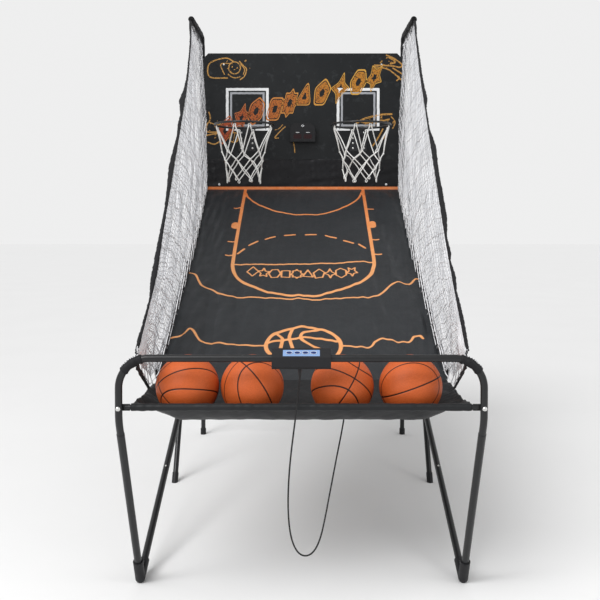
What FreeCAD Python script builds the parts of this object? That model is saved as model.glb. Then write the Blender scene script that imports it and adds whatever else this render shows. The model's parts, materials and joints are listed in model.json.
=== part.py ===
import FreeCAD, Part
import math
import os

V = FreeCAD.Vector

# Basketball hoop machine: a fold-up, two-hoop indoor basketball game.
# Millimetres. X to the player's right, Y away from the player, Z up.
# The origin is on the floor, at the middle of the bounding box of everything but the cord.

# ---- driving dimensions ----------------------------------------------------------------

# overall layout
POST_X = 512.0
POST_Y = 1022.0
STAY_X = 535.0
ARM_X = 488.0
HALF_LENGTH = 1036.0

# tube sizes, as radii
FRAME_R = 11.0
HOOP_R = 10.0
TRAY_R = 7.0
WALL = 1.3
SWAGE_R = FRAME_R - WALL - 0.1

# rear posts and the net arms at their tops
POST_JOINT_Z = 1060.0
SWAGE_LENGTH = 50.0
POST_TOP_Z = 2033.0
POST_BEND = 60.0
TIP = V(525.0, 707.0, 2047.0)

# cross tubes between the posts
BRACE_Z = 250.0
COURT_RAIL_Z = 1262.0
BOARD_RAIL_Z = (1600.0, 1890.0)

# stay legs, front V arms and the pivot where they cross
STAY_FLOOR_Y = 231.0
STAY_TOP_Z = 1301.0
FOOT = V(ARM_X, -736.0, 14.0)
PIVOT_Y = 564.0
PIVOT_Z = 547.0
ARM_SPLIT = 560.0
ARM_OVERLAP = 90.0
SNAP_AT = 508.0
SNAP_R = 3.5

# front hoop and ball tray
BAR_Y = -1012.0
BAR_Z = 725.0
BAR_BEND = 80.0
TRAY_Z = 591.0
TRAY_Y = BAR_Y + 13.0
KNEE_Z = TRAY_Z - 34.0
KNEE_BEND = 90.0
LEG_JOINT = 45.0

# backboard and what hangs on it
BOARD_HALF = 510.0
BOARD_FRONT = 999.0
BOARD_BACK = POST_Y - FRAME_R
BOARD_BOTTOM = 1410.0
BOARD_TOP = 1946.0
BOARD_CHAMFER = 32.0
SKIRT_BACK = 1004.0

# hoops
RIM_X = 283.0
RIM_Y = 797.0
RIM_Z = 1561.0
RIM_RING = 141.0
RIM_WIRE = 5.0
RIM_ARM_X = 35.0
PLATE = 4.0
BRACKET_HALF = 42.0
BRACKET_Z = (1452.0, 1575.0)
BRACKET_BOLT_X = 28.0
BRACKET_BOLT_Z = (1466.5, 1491.5, 1517.0, 1545.0)
NET_PROFILE = ((136.0, 1551.0), (112.0, 1466.0), (84.0, 1385.0), (80.0, 1285.0))
NET_THICK = 4.0

# scoreboard
SCORE_HALF = 62.5
SCORE_Z = (1497.0, 1591.0)
SCORE_NECK_HALF = 42.0
SCORE_NECK_Z = 1570.0
SCORE_FRONT = 969.0
SHELL = 2.5
WINDOW = (26.0, 1523.0, 20.0, 11.0)
DOOR = (26.0, 974.0, 993.0)
CELL_R = 5.25
CELL_LENGTH = 44.5

# court cloth and ball trough: the top surface in side view, as (Y, Z)
COURT_PROFILE = ((999.0, 1256.0), (350.0, 946.0), (0.0, 806.0), (-346.0, 664.0), (-567.0, 581.0))
TROUGH_PROFILE = ((-569.0, 580.4), (-733.0, 546.0), (-830.0, 536.0), (-900.0, 536.0), (-948.0, 554.0),
                  (-975.0, 573.0), (-993.0, 585.0))
CLOTH_THICK = 5.0
COURT_HALF_REAR = 488.0
COURT_HALF_MID = 466.0
COURT_HALF_FRONT = 462.0
COURT_MID_Y = 400.0
SLEEVE_HALF = 456.0
WALL_FOOT = 346.0
WALL_TOP = (457.0, 595.0)
WALL_Y = (-985.0, -580.0)
SLEEVE_R = TRAY_R + 3.0

# side nets: stations (Y, low X, low Z, high X, high Z)
SIDE_NET = ((995.0, 490.0, 1262.0, 507.0, 1988.0),
            (707.0, 482.0, 1125.0, 516.0, 2030.0),
            (400.0, 471.0, 978.0, 488.0, 1799.0),
            (131.0, 469.0, 868.0, 471.0, 1596.0),
            (-565.0, 469.0, 592.0, 462.0, 1072.0),
            (-700.0, 468.0, 597.0, 462.0, 968.0),
            (-984.0, 463.0, 735.0, 462.0, 756.0))
SIDE_NET_THICK = 4.0

# control box on the front bar
BOX_HALF = 78.5
BOX_FRONT = -HALF_LENGTH
BOX_BACK = BAR_Y + 22.0
BOX_BOTTOM = BAR_Z - 26.0
BOX_TOP = BAR_Z + 24.0
BOX_FACE_LOW = BAR_Z + 6.0
BOX_FACE_BACK = BAR_Y + 12.0
LABEL_HALF = 49.0
LABEL_WIDTH = 28.0
LABEL_THICK = 1.5
BUTTON_PITCH = 21.6
BUTTON_HALF = (6.9, 4.6)
BUTTON_FLANGE = (8.0, 5.8)
BUTTON_PROUD = 1.2
BUTTON_TRAVEL = 0.9
RUNNING = 0.05

# balls: seven inch, thin rubber shells
BALL_R = 89.0
BALL_WALL = 3.0
BALL_X = (-322.0, -139.0, 115.0, 308.0)
BALL_Y = -883.0
BALL_GAP = 0.2

# fasteners
BOLT_R = 3.0
PIVOT_R = 4.0
HEAD_R = 6.5
HEAD_H = 4.0
KNOB_R = 18.0

# free cord from the control box, hanging in a loop under the tray
CORD_R = 2.25
RELIEF_LENGTH = 22.0
CORD_ROUTE = ((-4.0, -1020.0, 677.0),
              (-7.0, -1020.0, 641.0),
              (-13.0, -1021.0, 589.0),
              (-20.5, -1022.0, 530.0),
              (-28.0, -1021.5, 470.0),
              (-33.5, -1020.0, 408.0),
              (-36.0, -1018.0, 347.0),
              (-34.5, -1015.0, 290.0),
              (-27.5, -1011.0, 238.0),
              (-12.0, -1006.0, 200.0),
              (10.0, -997.0, 184.0),
              (33.0, -984.0, 190.0),
              (51.0, -966.0, 218.0),
              (64.0, -940.0, 262.0),
              (77.0, -908.0, 316.0),
              (90.0, -873.0, 368.0),
              (103.5, -834.0, 420.0),
              (117.0, -790.0, 467.0),
              (128.0, -742.0, 506.0),
              (134.0, -690.0, 532.0),
              (137.0, -644.0, 548.0),
              (137.0, -618.0, 554.0))
CLIP_HALF = 9.0
CLIP_LENGTH = 20.0

# lead under the court, held by stitched loops, from the tray seam to the scoreboard
LEAD_X = 137.0
LEAD_ROUTE = ((LEAD_X, -562.0, 572.0),
              (LEAD_X, -346.0, 653.0),
              (130.0, 0.0, 795.0),
              (116.0, 350.0, 935.0),
              (70.0, 905.0, 1200.0),
              (44.0, 975.0, 1231.0),
              (36.0, 1007.5, 1243.0),
              (33.0, 1007.5, 1276.0),
              (30.0, 1016.5, 1315.0),
              (12.0, 1017.0, 1440.0),
              (0.0, 1017.0, 1540.0),
              (0.0, 993.2, 1540.0))
LEAD_HOLE_Z = 1540.0


# ---- helpers ---------------------------------------------------------------------------

def rod(start, end, radius):
    """A solid cylinder between two points."""
    axis = end - start
    return Part.makeCylinder(radius, axis.Length, start, axis)


def pipe(start, end, radius, wall=WALL):
    """A straight tube between two points."""
    return rod(start, end, radius).cut(rod(start, end, radius - wall))


def block(x0, x1, y0, y1, z0, z1):
    """A box between two corners."""
    return Part.makeBox(x1 - x0, y1 - y0, z1 - z0, V(x0, y0, z0))


def mirrored(shape):
    """The same shape on the other side of the machine."""
    return shape.mirror(V(0, 0, 0), V(1, 0, 0))


def both(shape):
    """A shape with its mirror image, as a list."""
    return [shape, mirrored(shape)]


def path(points, bends):
    """A wire of straight runs joined by tangent arcs, one radius for each inner point."""
    edges, last = [], points[0]
    for i in range(1, len(points) - 1):
        back = (points[i - 1] - points[i]).normalize()
        ahead = (points[i + 1] - points[i]).normalize()
        turn = math.pi - back.getAngle(ahead)
        reach = bends[i - 1] * math.tan(turn / 2)
        enter = points[i] + back * reach
        leave = points[i] + ahead * reach
        middle = (back + ahead).normalize()
        centre = points[i] + middle * (bends[i - 1] / math.cos(turn / 2))
        edges.append(Part.LineSegment(last, enter).toShape())
        edges.append(Part.Arc(enter, centre - middle * bends[i - 1], leave).toShape())
        last = leave
    edges.append(Part.LineSegment(last, points[-1]).toShape())
    return Part.Wire(edges)


def swept(points, bends, radius):
    """A solid round bar along a path."""
    wire = path(points, bends)
    start = Part.Circle(points[0], points[1] - points[0], radius).toShape()
    return wire.makePipeShell([Part.Wire([start])], True, True)


def bent_tube(points, bends, radius):
    """A tube along a path."""
    return swept(points, bends, radius).cut(swept(points, bends, radius - WALL))


def even_bends(points):
    """Radii for a free cord: 0.45 of the shorter run over the tangent of half the turn."""
    radii = []
    for i in range(1, len(points) - 1):
        back = points[i - 1] - points[i]
        ahead = points[i + 1] - points[i]
        turn = math.pi - back.getAngle(ahead)
        radii.append(0.45 * min(back.Length, ahead.Length) / math.tan(turn / 2))
    return radii


def side_plate(outline, x0, x1):
    """A plate cut to an outline of (Y, Z) points, between two X values."""
    corners = [V(x0, y, z) for y, z in outline]
    face = Part.Face(Part.makePolygon(corners + corners[:1]))
    return face.extrude(V(x1 - x0, 0, 0))


def sheet_outline(profile, thick):
    """The closed outline of a sheet whose top surface is the profile."""
    under = []
    for i, (y, z) in enumerate(profile):
        y0, z0 = profile[max(i - 1, 0)]
        y1, z1 = profile[min(i + 1, len(profile) - 1)]
        length = math.hypot(y1 - y0, z1 - z0)
        side = thick / length
        under.append((y + (z0 - z1) * side, z - (y0 - y1) * side))
    return list(profile) + under[::-1]


def dome_bolt(seat, axis, shank, length, head=HEAD_R, height=HEAD_H):
    """A dome-headed bolt. Its shank runs from the seat along the axis; the head is behind the seat."""
    axis = V(axis).normalize()
    ball_r = (head * head + height * height) / (2 * height)
    ball = Part.makeSphere(ball_r, seat - axis * (height - ball_r))
    cap = ball.common(rod(seat - axis * height, seat, head * 1.2))
    return cap.fuse(rod(seat, seat + axis * length, shank)).removeSplitter()


def ring(start, end, radius, bore):
    """A washer, spacer or nut."""
    return rod(start, end, radius).cut(rod(start, end, bore))


def hex_nut(start, end, radius, bore):
    """A six-sided nut on an axis along X."""
    corners = []
    for k in range(7):
        angle = math.radians(60 * k)
        corners.append(V(start.x, start.y + radius * math.cos(angle), start.z + radius * math.sin(angle)))
    prism = Part.Face(Part.makePolygon(corners)).extrude(end - start)
    return prism.cut(rod(start, end, bore))


def export(node, shapes):
    """Write one node. Several separate solids go in one compound."""
    if not isinstance(shapes, list):
        shapes = [shapes]
    solids = [solid for shape in shapes for solid in shape.Solids]
    shape = solids[0] if len(solids) == 1 else Part.makeCompound(solids)
    shape.exportStep("parts/" + node + ".step")


def export_pair(node, right):
    """Write a right-hand node and its mirror image."""
    export(node + "_right", right)
    export(node + "_left", mirrored(right))


# ---- directions shared by several parts --------------------------------------------------

KNEE = V(ARM_X, BAR_Y, KNEE_Z)
LEG_UP = (KNEE - FOOT).normalize()
PIVOT = V(ARM_X, PIVOT_Y, PIVOT_Z)
ARM_UP = (PIVOT - FOOT).normalize()
ARM_TOP = V(0, -ARM_UP.z, ARM_UP.y)
STUD = FOOT + ARM_UP * ((POST_Y - FOOT.y) / ARM_UP.y)
STAY_FOOT = V(STAY_X, STAY_FLOOR_Y, 0)
STAY_HEAD = V(STAY_X, POST_Y, STAY_TOP_Z)
STAY_UP = (STAY_HEAD - STAY_FOOT).normalize()

FACE_LOW = V(0, BOX_FRONT, BOX_FACE_LOW)
FACE_HIGH = V(0, BOX_FACE_BACK, BOX_TOP)
FACE_UP = (FACE_HIGH - FACE_LOW).normalize()
FACE_OUT = V(0, -FACE_UP.z, FACE_UP.y)
FACE_MIDDLE = (FACE_LOW + FACE_HIGH) * 0.5


def across(y, z, radius, x0=POST_X - 30, x1=STAY_X + 30):
    """A cutter for a hole along X, on the right-hand side."""
    return rod(V(x0, y, z), V(x1, y, z), radius)


# ---- rear frame ----------------------------------------------------------------------------

def make_posts():
    floor = 4.0
    lower = pipe(V(POST_X, POST_Y, floor), V(POST_X, POST_Y, POST_JOINT_Z), FRAME_R)
    lower = lower.cut(across(POST_Y, BRACE_Z, BOLT_R))
    lower = lower.cut(across(POST_Y, STUD.z, PIVOT_R))
    export_pair("post_lower", lower)

    joint = V(POST_X, POST_Y, POST_JOINT_Z)
    corner = V(POST_X, POST_Y, POST_TOP_Z)
    upper = bent_tube([joint, corner, TIP], [POST_BEND], FRAME_R)
    swage = pipe(joint - V(0, 0, SWAGE_LENGTH), joint + V(0, 0, 4), SWAGE_R)
    upper = upper.fuse(swage).fuse(ring(joint, joint + V(0, 0, 4), FRAME_R - 0.5, SWAGE_R - WALL))
    for z in (COURT_RAIL_Z, STAY_TOP_Z) + BOARD_RAIL_Z:
        upper = upper.cut(across(POST_Y, z, BOLT_R))
    tip_up = (TIP - corner).normalize()
    upper = upper.fuse(rod(TIP - tip_up * 5, TIP, FRAME_R - WALL / 2))
    export_pair("post_upper", upper.removeSplitter())


def cross_tube(z):
    """A tube between the posts with a solid threaded plug in each end."""
    end = POST_X - FRAME_R - 0.1
    tube = pipe(V(-end, POST_Y, z), V(end, POST_Y, z), FRAME_R)
    plug = rod(V(end - 32, POST_Y, z), V(end - 0.5, POST_Y, z), FRAME_R - WALL / 2)
    tube = tube.fuse(both(plug))
    bore = across(POST_Y, z, BOLT_R, end - 24)
    return tube.cut(bore).cut(mirrored(bore)).removeSplitter()


def make_cross_tubes():
    export("lower_rails", [cross_tube(BRACE_Z), cross_tube(COURT_RAIL_Z)])
    rails = []
    for z in BOARD_RAIL_Z:
        rail = cross_tube(z)
        for x in (-400, 400):
            rail = rail.cut(rod(V(x, POST_Y - 30, z), V(x, POST_Y + 8, z), 2.5))
        rails.append(rail)
    export("board_rails", rails)


def make_stays():
    stay = pipe(STAY_FOOT + STAY_UP * 10, STAY_HEAD + STAY_UP * 8.8, FRAME_R)
    stay = stay.cut(across(PIVOT_Y, PIVOT_Z, PIVOT_R))
    stay = stay.cut(across(POST_Y, STAY_TOP_Z, BOLT_R))
    export_pair("stay_leg", stay)


def make_caps():
    cap_r = HALF_LENGTH - POST_Y
    foot = V(POST_X, POST_Y, 0)
    post_cap = rod(foot, foot + V(0, 0, 30), cap_r)
    post_cap = post_cap.cut(rod(foot + V(0, 0, 4), foot + V(0, 0, 40), FRAME_R))
    stay_cap = rod(STAY_FOOT - STAY_UP * 25, STAY_FOOT + STAY_UP * 40, cap_r - 1)
    stay_cap = stay_cap.common(block(STAY_X - 40, STAY_X + 40, STAY_FLOOR_Y - 60, STAY_FLOOR_Y + 90, 0, 60))
    stay_cap = stay_cap.cut(rod(STAY_FOOT + STAY_UP * 10, STAY_FOOT + STAY_UP * 60, FRAME_R))
    export("leg_caps", both(post_cap) + both(stay_cap))


def make_frame_hardware():
    outside = POST_X + FRAME_R
    inside = POST_X - FRAME_R
    bolts = []
    for z in (BRACE_Z, COURT_RAIL_Z) + BOARD_RAIL_Z:
        bolts += both(dome_bolt(V(outside, POST_Y, z), V(-1, 0, 0), BOLT_R, 42))
    stay_seat = V(STAY_X + FRAME_R, POST_Y, STAY_TOP_Z)
    bolts += both(dome_bolt(stay_seat, V(-1, 0, 0), BOLT_R, 54))
    nut = V(inside, POST_Y, STAY_TOP_Z)
    bolts += both(hex_nut(nut - V(6, 0, 0), nut, 5.8, BOLT_R))

    pivot_seat = V(STAY_X + FRAME_R, PIVOT_Y, PIVOT_Z)
    bolts += both(dome_bolt(pivot_seat, V(-1, 0, 0), PIVOT_R, 76, 8, 4))
    nut = V(ARM_X - FRAME_R - 0.1, PIVOT_Y, PIVOT_Z)
    bolts += both(hex_nut(nut - V(5.5, 0, 0), nut, 7.5, PIVOT_R))

    bolts += both(dome_bolt(V(outside, POST_Y, STUD.z), V(-1, 0, 0), PIVOT_R, outside - 462, 8, 4))
    for z in BOARD_RAIL_Z:
        bolts += both(dome_bolt(V(400, BOARD_FRONT, z), V(0, 1, 0), 2.5, 30, 5, 2.5))
    bolts += both(dome_bolt(V(50, BOARD_BACK, 1560), V(0, -1, 0), 2, 16, 4, 2.5))

    washer = ring(V(outside, POST_Y, STAY_TOP_Z), V(STAY_X - FRAME_R, POST_Y, STAY_TOP_Z), 8, BOLT_R)
    gap = V(ARM_X + FRAME_R + RUNNING, PIVOT_Y, PIVOT_Z)
    spacer = ring(gap, V(STAY_X - FRAME_R, PIVOT_Y, PIVOT_Z), 8, PIVOT_R)
    collar = ring(V(ARM_X + 2.6, POST_Y, STUD.z), V(inside, POST_Y, STUD.z), 8, PIVOT_R)
    export("frame_fasteners", bolts + both(washer) + both(spacer) + both(collar))


def make_knobs():
    """A five-lobed clamp knob turning on the post stud, on the inner side of the arm's tongue."""
    hub = V(ARM_X - 2.6, POST_Y, STUD.z)
    face = hub - V(8, 0, 0)
    knob = rod(hub, face - V(20, 0, 0), 9).fuse(rod(face, face - V(20, 0, 0), KNOB_R - 4))
    for k in range(5):
        angle = math.radians(72 * k + 18)
        side = V(0, math.cos(angle), math.sin(angle)) * (KNOB_R - 6)
        knob = knob.fuse(rod(face + side, face + side - V(20, 0, 0), 6))
    knob = knob.cut(rod(hub, V(460, POST_Y, STUD.z), PIVOT_R + RUNNING))
    export_pair("lock_knob", knob.removeSplitter())


# ---- backboard, hoops and scoreboard -------------------------------------------------------

def bracket_bolts():
    """Seats of the bolts that hold one rim bracket, on the right."""
    return [(RIM_X + side * BRACKET_BOLT_X, z) for side in (-1, 1) for z in BRACKET_BOLT_Z]


def make_board():
    c = BOARD_CHAMFER
    top, low, half = BOARD_TOP, BOARD_BOTTOM, BOARD_HALF
    outline = [V(-half, BOARD_FRONT, low), V(half, BOARD_FRONT, low), V(half, BOARD_FRONT, top - c),
               V(half - c, BOARD_FRONT, top), V(c - half, BOARD_FRONT, top), V(-half, BOARD_FRONT, top - c)]
    board = Part.Face(Part.makePolygon(outline + outline[:1])).extrude(V(0, BOARD_BACK - BOARD_FRONT, 0))
    front, back = BOARD_FRONT - 5, BOARD_BACK + 5
    for x, z in bracket_bolts():
        for side in (-1, 1):
            board = board.cut(rod(V(side * x, front, z), V(side * x, back, z), 2.5))
    for z in BOARD_RAIL_Z:
        for x in (-400, 400):
            board = board.cut(rod(V(x, front, z), V(x, back, z), 2.5))
    for x in (-50, 50):
        board = board.cut(rod(V(x, front, 1560), V(x, back, 1560), 2))
    board = board.cut(rod(V(0, front, LEAD_HOLE_Z), V(0, back, LEAD_HOLE_Z), 8))
    export("backboard", board)
    skirt = block(-498, 498, BOARD_FRONT, SKIRT_BACK, COURT_RAIL_Z - 11, BOARD_BOTTOM)
    export("backboard_skirt", skirt)


def make_rims():
    centre = V(RIM_X, RIM_Y, RIM_Z)
    plate_front = BOARD_FRONT - PLATE
    rim = Part.makeTorus(RIM_RING, RIM_WIRE, centre, V(0, 0, 1))
    reach = math.sqrt(RIM_RING ** 2 - RIM_ARM_X ** 2)
    for side in (-1, 1):
        x = RIM_X + side * RIM_ARM_X
        rim = rim.fuse(rod(V(x, RIM_Y + reach, RIM_Z), V(x, plate_front, RIM_Z), RIM_WIRE - 0.8))
    for k in range(12):
        angle = math.radians(30 * k + 15)
        out = V(math.cos(angle), math.sin(angle), 0)
        hook = centre + out * RIM_RING
        rim = rim.fuse(rod(hook, hook - V(0, 0, RIM_WIRE + 5), 1.6))
    export_pair("rim", rim.removeSplitter())

    bracket = block(RIM_X - BRACKET_HALF, RIM_X + BRACKET_HALF, plate_front, BOARD_FRONT, *BRACKET_Z)
    bolts = []
    for x, z in bracket_bolts():
        bracket = bracket.cut(rod(V(x, plate_front - 1, z), V(x, BOARD_FRONT + 1, z), 2.5))
        bolts.append(dome_bolt(V(x, plate_front, z), V(0, 1, 0), 2.5, PLATE + 11.5, 5, 2.5))
    export("rim_brackets", both(bracket))
    export("rim_bolts", bolts + [mirrored(bolt) for bolt in bolts])

    outer = [V(RIM_X + r, RIM_Y, z) for r, z in NET_PROFILE]
    inner = [V(RIM_X + r - NET_THICK, RIM_Y, z) for r, z in reversed(NET_PROFILE)]
    section = Part.Face(Part.makePolygon(outer + inner + outer[:1]))
    net = section.revolve(V(RIM_X, RIM_Y, 0), V(0, 0, 1), 360)
    export_pair("hoop_net", net)

    sensor = block(RIM_X - 17, RIM_X + 17, plate_front - 16, plate_front, 1524, 1538)
    lens = rod(V(RIM_X, plate_front - 18, 1531), V(RIM_X, plate_front - 16, 1531), 4)
    export("rim_sensors", both(sensor.fuse(lens)))


def score_outline(inset, y):
    """The scoreboard's outline, drawn in by an inset, at one depth."""
    half, neck = SCORE_HALF - inset, SCORE_NECK_HALF - inset
    low, top, shoulder = SCORE_Z[0] + inset, SCORE_Z[1] - inset, SCORE_NECK_Z - inset * 0.5
    points = [(-half, low), (half, low), (half, shoulder), (neck, top), (-neck, top), (-half, shoulder)]
    corners = [V(x, y, z) for x, z in points]
    return Part.Face(Part.makePolygon(corners + corners[:1]))


def make_scoreboard():
    back_y = BOARD_FRONT - SHELL - 0.5
    x, z, half_w, half_h = WINDOW
    case = score_outline(0, SCORE_FRONT).extrude(V(0, back_y - SCORE_FRONT, 0))
    case = case.cut(score_outline(SHELL, SCORE_FRONT + SHELL).extrude(V(0, back_y, 0)))
    windows = []
    for side in (-1, 1):
        box = block(side * x - half_w, side * x + half_w, SCORE_FRONT, SCORE_FRONT + SHELL, z - half_h, z + half_h)
        case = case.cut(box)
        windows.append(box)
    door_half, door_y0, door_y1 = DOOR
    gap = 0.15
    case = case.cut(block(-door_half - gap, door_half + gap, door_y0 - gap, door_y1 + gap,
                          SCORE_Z[0] - 1, SCORE_Z[0] + SHELL + 1))
    export("score_case_front", case)
    export("score_windows", windows)
    export("battery_door", block(-door_half, door_half, door_y0, door_y1, SCORE_Z[0], SCORE_Z[0] + SHELL))

    back = score_outline(0, back_y).extrude(V(0, BOARD_FRONT - back_y, 0))
    boss_face = 992.6
    for side in (-1, 1):
        back = back.fuse(rod(V(side * 50, boss_face, 1560), V(side * 50, back_y, 1560), 4))
        back = back.cut(rod(V(side * 50, boss_face + 1, 1560), V(side * 50, BOARD_FRONT + 1, 1560), 2))
    back = back.cut(rod(V(0, boss_face, LEAD_HOLE_Z), V(0, BOARD_FRONT + 1, LEAD_HOLE_Z), 5))
    export("score_case_back", back.removeSplitter())

    board = block(-56, 56, boss_face - 1.6, boss_face, 1527, 1566)
    displays = [block(side * x - 17, side * x + 17, SCORE_FRONT + SHELL + 2, boss_face - 1.6, z + 2, z + 24)
                for side in (-1, 1)]
    speaker = rod(V(0, SCORE_FRONT + SHELL, 1572), V(0, SCORE_FRONT + SHELL + 9, 1572), 14)
    contact_x = CELL_LENGTH / 2 + 0.05
    contact = block(contact_x, contact_x + 0.8, 974.5, 992.5, 1500, 1520)
    export("score_electronics", [board] + displays + [speaker] + both(contact))

    cells = []
    for y, z0 in ((978.2, 1505.6), (989.0, 1505.6)):
        cells.append(rod(V(-CELL_LENGTH / 2, y, z0), V(CELL_LENGTH / 2, y, z0), CELL_R))
    export("batteries", cells)


# ---- soft parts ------------------------------------------------------------------------------

def trough_wall():
    """The sloping end of the trough cloth on the right, and the space outside it."""
    x1, z1 = WALL_TOP
    x0, z0 = WALL_FOOT, TROUGH_PROFILE[2][1]
    slope = (z1 - z0) / (x1 - x0)
    far = x1 + 60
    top = [(x0, z0), (x1, z1)]
    under = [(x1, z1 - CLOTH_THICK), (x0, z0 - CLOTH_THICK)]
    outside = [(x0, z0 - CLOTH_THICK), (far, z0 - CLOTH_THICK + (far - x0) * slope), (far, 400), (x0, 400)]
    solids = []
    for corners, near, back in ((top + under, WALL_Y[0], WALL_Y[1]), (outside, WALL_Y[0] - 40, WALL_Y[1] + 40)):
        points = [V(x, near, z) for x, z in corners]
        solids.append(Part.Face(Part.makePolygon(points + points[:1])).extrude(V(0, back - near, 0)))
    wall, outside = solids
    middle = [(y, z - CLOTH_THICK / 2) for y, z in TROUGH_PROFILE]
    below = [(TROUGH_PROFILE[-1][0], 400), (TROUGH_PROFILE[0][0], 400)]
    return wall.cut(side_plate(middle + below, x0 - 50, x1 + 50)), outside


def make_trough():
    """The ball trough: a cloth with sloping ends, and its sleeve round the tray tube."""
    start, end = V(-SLEEVE_HALF, TRAY_Y, TRAY_Z), V(SLEEVE_HALF, TRAY_Y, TRAY_Z)
    wall, outside = trough_wall()
    cloth = side_plate(sheet_outline(TROUGH_PROFILE, CLOTH_THICK), -WALL_TOP[0], WALL_TOP[0])
    cloth = cloth.cut(both(outside))
    return cloth.fuse([rod(start, end, SLEEVE_R)] + both(wall)).cut(rod(start, end, TRAY_R)).removeSplitter()


def make_cloths():
    sheet = side_plate(sheet_outline(COURT_PROFILE, CLOTH_THICK), -COURT_HALF_REAR, COURT_HALF_REAR)
    front = COURT_PROFILE[-1][0] - 20
    rear = COURT_PROFILE[0][0]
    plan = [(COURT_HALF_REAR, rear), (COURT_HALF_MID, COURT_MID_Y), (COURT_HALF_FRONT, front),
            (-COURT_HALF_FRONT, front), (-COURT_HALF_MID, COURT_MID_Y), (-COURT_HALF_REAR, rear)]
    corners = [V(x, y, 0) for x, y in plan]
    outline = Part.Face(Part.makePolygon(corners + corners[:1])).extrude(V(0, 0, 2000))
    export("court_cloth", sheet.common(outline))

    trough = make_trough()
    export("ball_trough", trough)

    start = CORD_ROUTE[-1]
    clip = block(start[0] - CLIP_HALF, start[0] + CLIP_HALF, start[1], start[1] + CLIP_LENGTH, start[2] - 7, 590)
    clip = clip.cut(trough)
    export("cord_clip", sorted(clip.Solids, key=lambda solid: solid.BoundBox.ZMin)[0])


def make_side_nets():
    sections = []
    half = SIDE_NET_THICK / 2
    for y, low_x, low_z, high_x, high_z in SIDE_NET:
        corners = [V(low_x - half, y, low_z), V(low_x + half, y, low_z),
                   V(high_x + half, y, high_z), V(high_x - half, y, high_z)]
        sections.append(Part.makePolygon(corners + corners[:1]))
    export_pair("side_net", Part.makeLoft(sections, True, True))


def make_balls():
    centre_z = TROUGH_PROFILE[2][1] + BALL_GAP + BALL_R
    for number, x in enumerate(BALL_X, 1):
        centre = V(x, BALL_Y, centre_z)
        ball = Part.makeSphere(BALL_R, centre).cut(Part.makeSphere(BALL_R - BALL_WALL, centre))
        export("ball_%d" % number, ball)


# ---- front section -----------------------------------------------------------------------------

def make_front_hoop():
    joint = KNEE - LEG_UP * LEG_JOINT
    corner = V(ARM_X, BAR_Y, BAR_Z)
    right = [joint, KNEE, corner]
    left = [V(-p.x, p.y, p.z) for p in reversed(right)]
    hoop = bent_tube(right + left, [KNEE_BEND, BAR_BEND, BAR_BEND, KNEE_BEND], HOOP_R)
    swage_r = FRAME_R - WALL - 0.1
    swage = pipe(joint - LEG_UP * SWAGE_LENGTH, joint + LEG_UP * 4, swage_r)
    hoop = hoop.fuse(both(swage))
    hole = rod(V(ARM_X, BAR_Y - 30, TRAY_Z), V(ARM_X, BAR_Y + 30, TRAY_Z), BOLT_R)
    for cutter in both(hole):
        hoop = hoop.cut(cutter)
    export("front_hoop", hoop.removeSplitter())

    leg = pipe(FOOT + LEG_UP * 22, joint, FRAME_R)
    export_pair("front_leg", leg)


def make_feet():
    sleeve_r = FRAME_R + 4
    length = 72.0
    strap = (57.0, 71.0)
    elbow = Part.makeSphere(sleeve_r, FOOT)
    for along in (LEG_UP, ARM_UP):
        elbow = elbow.fuse(rod(FOOT, FOOT + along * length, sleeve_r))
    corners = [FOOT + LEG_UP * strap[0], FOOT + LEG_UP * strap[1], FOOT + ARM_UP * strap[1],
               FOOT + ARM_UP * strap[0]]
    web = Part.Face(Part.makePolygon(corners + corners[:1])).extrude(V(10, 0, 0))
    web.translate(V(-5, 0, 0))
    elbow = elbow.fuse(web)
    for along in (LEG_UP, ARM_UP):
        elbow = elbow.cut(rod(FOOT + along * 22, FOOT + along * 100, FRAME_R))
    elbow = elbow.cut(block(ARM_X - 60, ARM_X + 60, FOOT.y - 90, FOOT.y + 90, -40, 0))
    export_pair("foot_elbow", elbow.removeSplitter())


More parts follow.
